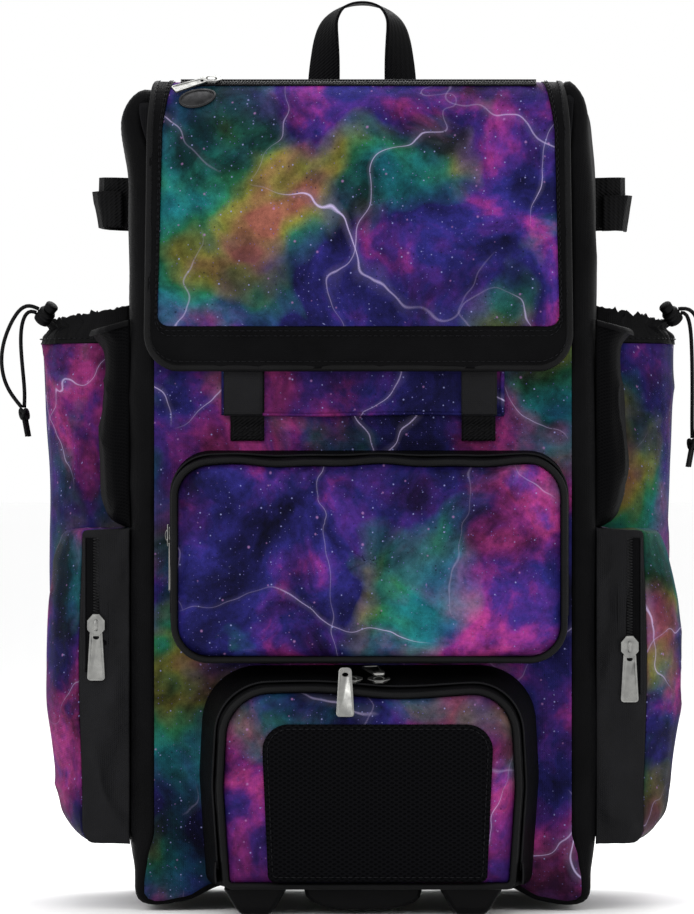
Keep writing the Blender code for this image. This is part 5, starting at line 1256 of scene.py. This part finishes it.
def nickel_plate(name, code, worn_code, roughness):
    """Plated zinc. The tumbling leaves soft cloudy gloss, and the grain is 0.3 mm, drawn at 0.8."""
    made, node = material(name, roughness, 1.0)
    solid = node("TexCoord", output="Object")
    cloudy = node("TexNoise", solid, Scale=160.0, Detail=3.0)
    node("ValToRGB", cloudy, stops=((0.35, worn_code), (0.62, code)), to="Base Color")
    node("MapRange", cloudy, 0.3, 0.7, roughness + 0.12, roughness - 0.08, to="Roughness")
    grain = node("TexNoise", solid, Scale=1200.0, Detail=1.0)
    node("Bump", Height=grain, Strength=0.15, Distance=0.0001, to="Normal")
    return made


nickel = nickel_plate("zinc, die cast, satin nickel plated", "#8E8E8B", "#7C7C7A", 0.32)
dark_nickel = nickel_plate("zinc, die cast, dark nickel plated", "#343435", "#262627", 0.40)


def choose(kind, test):
    """In edit mode, selects only what passes the test on its middle and its direction."""
    bpy.ops.mesh.select_mode(type=kind)
    bpy.ops.mesh.select_all(action="DESELECT")
    mesh = bpy.context.object.data
    shape = bmesh.from_edit_mesh(mesh)
    for item in {"FACE": shape.faces, "EDGE": shape.edges, "VERT": shape.verts}[kind]:
        if kind == "FACE":
            at, way = item.calc_center_median(), item.normal
        elif kind == "EDGE":
            at = (item.verts[0].co + item.verts[1].co) / 2
            way = (item.verts[1].co - item.verts[0].co).normalized()
        else:
            at, way = item.co, item.normal
        item.select_set(bool(test(at, way)))
    bmesh.update_edit_mesh(mesh)


def begun(kind, **settings):
    """Adds a primitive with nothing else selected, puts its place in its mesh, and opens it to be shaped."""
    bpy.ops.object.select_all(action="DESELECT")
    getattr(bpy.ops.mesh, f"primitive_{kind}_add")(**settings)
    obj = bpy.context.object
    obj.data.transform(obj.matrix_basis)
    obj.matrix_basis = Matrix()
    bpy.ops.object.mode_set(mode="EDIT")
    bpy.ops.mesh.select_all(action="SELECT")
    return obj


def resized(x, y, z):
    bpy.ops.transform.resize(value=(x, y, z), center_override=(0, 0, 0))


def shifted(x, y, z):
    bpy.ops.transform.translate(value=(x, y, z))


def extruded(x, y, z):
    bpy.ops.mesh.extrude_region_move(TRANSFORM_OT_translate={"value": (x, y, z)})


def shaped():
    bpy.ops.object.mode_set(mode="OBJECT")


def eased_edges(obj, width, segments=2):
    """Rounds the sharp edges."""
    bevel = obj.modifiers.new("eased", "BEVEL")
    bevel.width = width
    bevel.segments = segments
    bevel.limit_method = "ANGLE"
    bevel.angle_limit = math.radians(35)
    return applied(obj)


# The slider's body: a plate with its corners cut off, drawn in to a neck and out again.
slider_model = begun("cylinder", vertices=8, radius=0.541, depth=1.0, rotation=(math.pi / 2, 0, 0))
bpy.ops.transform.rotate(value=math.pi / 8, orient_axis="Y", center_override=(0, 0, 0))
resized(0.90 * SLIDER_WIDTH, 0.0010, SLIDER_LENGTH)
shifted(0, -0.0005, 0)
for outwards, size in ((0.0, 0.80), (0.0007, 1.0), (0.0, 1.25), (0.0011, 1.0)):
    choose("FACE", lambda at, way: way.y < -0.9)
    extruded(0, -outwards, 0)
    if not outwards:
        resized(size, 1, size)
choose("VERT", lambda at, way: at.z < -0.3 * SLIDER_LENGTH)
resized(0.72, 1, 1)
choose("VERT", lambda at, way: at.z > 0.3 * SLIDER_LENGTH)
resized(0.90, 1, 1)
choose("FACE", lambda at, way: way.y < -0.9 and at.y < -0.002)
bpy.ops.mesh.inset(thickness=0.0011)
shifted(0, 0.0003, 0)
shaped()
eased_edges(slider_model, 0.0003)
bail = begun("torus", major_radius=0.0036, minor_radius=0.0008, major_segments=28, minor_segments=10,
             rotation=(0, math.pi / 2, 0))
bpy.ops.mesh.bisect(plane_co=(0, 0, 0), plane_no=(0, 1, 0), clear_outer=True, use_fill=True)
bpy.ops.mesh.select_all(action="SELECT")
resized(1.5, 0.42, 1.0)
shifted(0, -0.0026, 0.0)
shaped()
chosen(slider_model, bail)
bpy.ops.object.join()

# The pull: a plate that widens downwards, with rounded corners, a raised rim and a slot for the bail.
pull_model = begun("cube", size=1)
resized(PULL_END_WIDTH, PULL_THICKNESS, PULL_LENGTH + 0.003)
shifted(0, -PULL_THICKNESS / 2, -PULL_LENGTH / 2 + 0.0015)
choose("VERT", lambda at, way: at.z > 0)
resized(PULL_TOP_WIDTH / PULL_END_WIDTH, 1, 1)
choose("EDGE", lambda at, way: abs(way.y) > 0.9 and at.z < -0.02)
bpy.ops.mesh.bevel(offset=0.0026, segments=5)
choose("EDGE", lambda at, way: abs(way.y) > 0.9 and at.z > 0.001)
bpy.ops.mesh.bevel(offset=0.0028, segments=5)
choose("FACE", lambda at, way: way.y < -0.9)
bpy.ops.mesh.inset(thickness=0.0014)
extruded(0, 0.0005, 0)
choose("VERT", lambda at, way: -0.0012 < at.y < -0.0008 and at.z > -0.006)
shifted(0, 0, -0.0052)
shaped()
slot_cutter = begun("cylinder", vertices=24, radius=0.5, depth=0.01, rotation=(math.pi / 2, 0, 0))
resized(0.0046, 1, 0.0032)
shifted(0, 0, -0.0022)
shaped()
slot_hole = pull_model.modifiers.new("slot", "BOOLEAN")
slot_hole.object = slot_cutter
slot_hole.solver = "EXACT"
applied(pull_model)
bpy.data.objects.remove(slot_cutter)
eased_edges(pull_model, 0.00025)


def fitted(name, model, finish, place, out, up, size=1.0, wide=1.0, replaces=()):
    """A copy of a fitting, with its -Y side facing out and its Z axis pointing up."""
    out = Vector(out).normalized()
    up = Vector(up)
    up = (up - out * up.dot(out)).normalized()
    mesh = model.data.copy()
    turn = Matrix((up.cross(out), -out, up)).transposed().to_4x4()
    seat = Matrix.Translation(Vector(place) + Vector((0, SETBACK, 0)))
    mesh.transform(seat @ turn @ Matrix.Diagonal((wide, 1, size, 1)))
    obj = placed(name, mesh, finish, replaces)
    obj.data.shade_flat()
    chosen(obj)
    bpy.ops.object.shade_smooth_by_angle(angle=math.radians(38))


TO_FRONT = Vector((0, -1, 0))
UPWARDS = Vector((0, 0, 1))
RIGHTWARDS = Vector((1, 0, 0))
hang_from = UPWARDS * (SLIDER_LENGTH / 2 + GAP)
fittings = []
seat = float(np.interp(ZIP_SHARE - PULL_END_WIDTH / 2 / SIDE_REACH, wall_outs, wall_deeps))
for word, side, fullness in SIDES:
    spot = Vector((side * (side_at(SIDE_FRONT) + ZIP_OUT), SIDE_FRONT + seat * (SIDE_BACK - SIDE_FRONT) - GAP,
                   slider_height(side)))
    fittings.append((f"side_slider_{word}", slider_model, spot, TO_FRONT, UPWARDS, 1.0))
    fittings.append((f"side_pull_{word}", pull_model, spot - hang_from, TO_FRONT, UPWARDS, 1.0))
spot = Vector((POCKET_SHIFT - MIDDLE_HALF_WIDTH - GAP, FRONT - MIDDLE_ZIP * MIDDLE_DEPTH,
               MIDDLE_LOW + 0.60 * (MIDDLE_HIGH - MIDDLE_LOW)))
fittings.append(("middle_slider", slider_model, spot, -RIGHTWARDS, UPWARDS, 1.0))
fittings.append(("middle_pull", pull_model, spot - hang_from, -RIGHTWARDS, UPWARDS, 1.0))
# The lower pocket's two sliders meet on its arch. The left pull hangs down and the right one lies back.
arch_out = Vector((0.0, -LOWER_TAPER, LOWER_DEPTH)).normalized()
lower_front = FRONT - LOWER_DEPTH
top_front = LOWER_HIGH - LOWER_TAPER
ARCH_SLIDERS = {"left": -0.0085, "right": 0.0115}
for word, x in ARCH_SLIDERS.items():
    spot = Vector((x, lower_front + 0.009, top_front + LOWER_TAPER * 0.009 / LOWER_DEPTH)) + arch_out * GAP
    fittings.append((f"lower_slider_{word}", slider_model, spot, arch_out, RIGHTWARDS, 1.0))
lean = math.radians(18)
hang_out = Vector((0.0, -math.cos(lean), math.sin(lean)))
hang_down = Vector((0.0, -math.sin(lean), -math.cos(lean)))
hang_top = (Vector((ARCH_SLIDERS["left"] - 0.0045, lower_front - GAP - PIPING, top_front - PIPING))
            + hang_out * (PIPING + GAP) - hang_down * 0.36 * PULL_LENGTH)
fittings.append(("lower_pull_left", pull_model, hang_top, hang_out, -hang_down, 1.0))
lean = math.radians(8)
lying_back = Vector((-0.22, math.cos(lean), math.sin(lean))).normalized()
lying_start = spot + arch_out * (SLIDER_HEIGHT + 3 * GAP) + Vector((0, -0.001, 0))
fittings.append(("lower_pull_right", pull_model, lying_start, Vector((0.0, -math.sin(lean), math.cos(lean))),
                 -lying_back, 0.86))
FLAP_SLIDER_X = -0.108
spot = on_flap(FLAP_SLIDER_X, zip_middle, 2 * GAP + 0.0014)
fittings.append(("flap_slider", slider_model, spot, zip_out, RIGHTWARDS, 1.0))
for node_name, model, spot, out, up, size in fittings:
    fitted(f"{node_name}_plated", model, nickel, spot, out, up, size, replaces=[node_name])
flap_pull_top = Vector(on_flap(FLAP_SLIDER_X - 0.0055, zip_middle + 0.0035, 0.0036))
flap_pull_end = Vector(on_flap(FLAP_SLIDER_X - 0.0285, zip_middle + 0.0145, 0.0046))
fitted("flap_slider_tongue_plated", pull_model, nickel, flap_pull_top, Vector(zip_out) + TO_FRONT * 0.35,
       flap_pull_top - flap_pull_end, 0.74, 0.62)
bpy.data.objects.remove(slider_model)
bpy.data.objects.remove(pull_model)

# The flap's tag: a dark oval with a raised rim and a bare field, which hangs on the flap's zip pull.
# It is die cast zinc, tumbled and plated in dark nickel.
tag_model = begun("cylinder", vertices=48, radius=1.0, depth=0.0018)
resized(0.0140, 0.0080, 1)
choose("FACE", lambda at, way: way.z > 0.9)
bpy.ops.mesh.inset(thickness=0.0017)
extruded(0, 0, -0.0009)
bpy.ops.mesh.inset(thickness=0.0020)
shifted(0, 0, 0.0003)
shaped()
eased_edges(tag_model, 0.0003)
lean = math.radians(16)
oval = bmesh.new()
oval.from_mesh(tag_model.data)
bpy.data.objects.remove(tag_model)
for vertex in oval.verts:
    x = vertex.co.x * math.cos(lean) + vertex.co.y * math.sin(lean)
    s = vertex.co.y * math.cos(lean) - vertex.co.x * math.sin(lean)
    spot = on_flap(FLAP_SLIDER_X - 0.010 + x, zip_middle + 0.020 + s, vertex.co.z + 0.0009 + GAP + 0.0006)
    vertex.co = Vector(spot) + Vector((0, SETBACK, 0))
bmesh.ops.recalc_face_normals(oval, faces=oval.faces)
finished(oval, "flap_tag_plated", dark_nickel, ["flap_pull"])

# Cord locks: a barrel of moulded nylon with two grooves, and the spring button that stands in it.
# Both are turned shapes, spun round one axis that leans out from the rim.
LOCK_LENGTH = 0.012
BARREL = ((0.0, 0.50), (0.0, 0.70), (0.08, 0.94), (0.20, 1.00), (0.36, 1.00), (0.40, 0.93), (0.46, 0.93), (0.50, 1.00),
          (0.62, 1.00), (0.66, 0.93), (0.72, 0.93), (0.76, 1.00), (0.86, 1.00), (0.97, 0.88), (1.00, 0.66),
          (0.99, 0.60), (1.03, 0.60), (1.06, 0.74), (1.40, 0.78), (1.47, 0.70), (1.50, 0.50), (1.50, 0.0))
for word, side, fullness in SIDES:
    centre, axis = lock_place(side, fullness)
    mesh = bpy.data.meshes.new("barrel")
    mesh.from_pydata([(0, 0, 0)] + [(r * LOCK_RADIUS, 0, h * LOCK_LENGTH) for h, r in BARREL],
                     [(k, k + 1) for k in range(len(BARREL))], [])
    barrel = bpy.data.objects.new("barrel", mesh)
    bpy.context.scene.collection.objects.link(barrel)
    chosen(barrel)
    bpy.ops.object.mode_set(mode="EDIT")
    bpy.ops.mesh.select_all(action="SELECT")
    bpy.ops.mesh.spin(steps=32, angle=2 * math.pi, center=(0, 0, 0), axis=(0, 0, 1))
    bpy.ops.mesh.select_all(action="SELECT")
    bpy.ops.mesh.remove_doubles(threshold=0.00002)
    bpy.ops.mesh.normals_make_consistent(inside=False)
    shaped()
    mesh = barrel.data.copy()
    bpy.data.objects.remove(barrel)
    mesh.transform(Matrix.Translation(centre - axis * LOCK_LENGTH / 2 + Vector((0, SETBACK, 0)))
                   @ axis.to_track_quat("Z", "Y").to_matrix().to_4x4())
    chosen(placed(f"lock_barrel_{word}", mesh, nylon, [f"cord_lock_{word}"]))
    bpy.ops.object.shade_smooth_by_angle(angle=math.radians(50))

# Stitching: bonded polyester thread, in lockstitches 3 mm long drawn a little thick so that they show.
# It runs along the flap's seams and edge, the band straps' ends, the rims and the mesh panel's hem.
STITCH = 0.0034
STITCH_GAP = 0.0012
THREAD = 0.00038
thread, node = material("polyester thread, bonded black", 0.5, Specular_IOR_Level=0.10)
twist = node("TexNoise", node("TexCoord", output="Object"), Scale=900.0, Detail=1.0)
node("ValToRGB", twist, stops=((0.35, "#08080A"), (0.65, "#151518")), to="Base Color")


def stitched(name, lines):
    """Rows of stitches as one piece. lines: (points, outs), where outs face away from the cloth."""
    shape = bmesh.new()
    for points, outs in lines:
        points = np.asarray(points, float)
        outs = np.broadcast_to(np.asarray(outs, float), points.shape)
        far = far_along(points)
        for number in range(max(1, int(far[-1] / (STITCH + STITCH_GAP)))):
            rings = []
            for share, lift, size in ((0.0, -0.0001, 0.5), (0.25, 0.0003, 1.0), (0.75, 0.0003, 1.0),
                                      (1.0, -0.0001, 0.5)):
                at = number * (STITCH + STITCH_GAP) + share * STITCH
                step = read_at(at + 0.0002, far, points) - read_at(at - 0.0002, far, points)
                way = step / max(np.linalg.norm(step), 1e-9)
                out = read_at(at, far, outs)
                out = unit(out - way * np.dot(out, way))
                across = np.cross(way, out)
                middle = read_at(at, far, points) + out * lift + (0, SETBACK, 0)
                rings.append([shape.verts.new(middle + THREAD * size * (math.cos(t) * across + math.sin(t) * out))
                              for t in (0.0, math.pi / 2, math.pi, 3 * math.pi / 2)])
            for low, high in zip(rings, rings[1:]):
                for k in range(4):
                    shape.faces.new((low[k], low[(k + 1) % 4], high[(k + 1) % 4], high[k]))
            shape.faces.new(list(reversed(rings[0])))
            shape.faces.new(rings[-1])
    bmesh.ops.recalc_face_normals(shape, faces=shape.faces)
    finished(shape, name, thread)


def flap_row(share):
    """A line of points that runs round the flap's border at this share from its edge to the print."""
    points, outs = [], []
    for a, b in border:
        x, s = a[0] + (b[0] - a[0]) * share, a[1] + (b[1] - a[1]) * share
        if s >= FOLD_START:
            points.append(on_flap(x, s, 0.0004))
            outs.append(np.array(on_flap(x, s, 0.01)) - np.array(on_flap(x, s, 0.0)))
    return points, outs


stitched("flap_seam_stitches", [flap_row(0.90), flap_row(0.78)])
stitched("flap_edge_stitches", [flap_row(0.17)])
low_left, low_right, high_right, high_left = (-0.010, 0.004), (0.010, 0.004), (0.010, 0.015), (-0.010, 0.015)
rows = []
for side in (-1, 1):
    for ends in ((low_left, low_right), (low_right, high_right), (high_right, high_left), (high_left, low_left),
                 (low_left, high_right), (high_left, low_right)):
        rows.append(([(side * STRAP_SPREAD + x, FRONT - GAP - WEBBING - 0.0001, STRAP_LOW + z) for x, z in ends],
                     (0, -1, 0)))
stitched("strap_box_stitches", rows)
rows = []
for word, side, fullness in SIDES:
    line = []
    for k in range(60):
        share = 0.5 - 0.5 * math.cos(math.pi * (k + 1) / 61)
        y = SLEEVE_FRONT + (SLEEVE_BACK - SLEEVE_FRONT) * share
        reach = rim_round(share) * SLEEVE_REACH * fullness
        line.append((side * (side_at(y) + 2 * GAP + reach + 0.0004), y, SLEEVE_HIGH + 0.004))
    spots = np.array(line)
    outs = np.cross(np.gradient(spots, axis=0), (0, 0, 1)) * side
    rows.append((spots, unit(outs * np.sign(np.sum(outs * (spots - (side * HALF_WIDTH, 0.05, SLEEVE_HIGH)))))))
stitched("rim_stitches", rows)
ring = ring_of(MESH_OUTLINE, 0.0035, 200)
stitched("mesh_hem_stitches", [([(x, plateau - 0.0020, z) for x, z in ring], (0, -1, 0))])
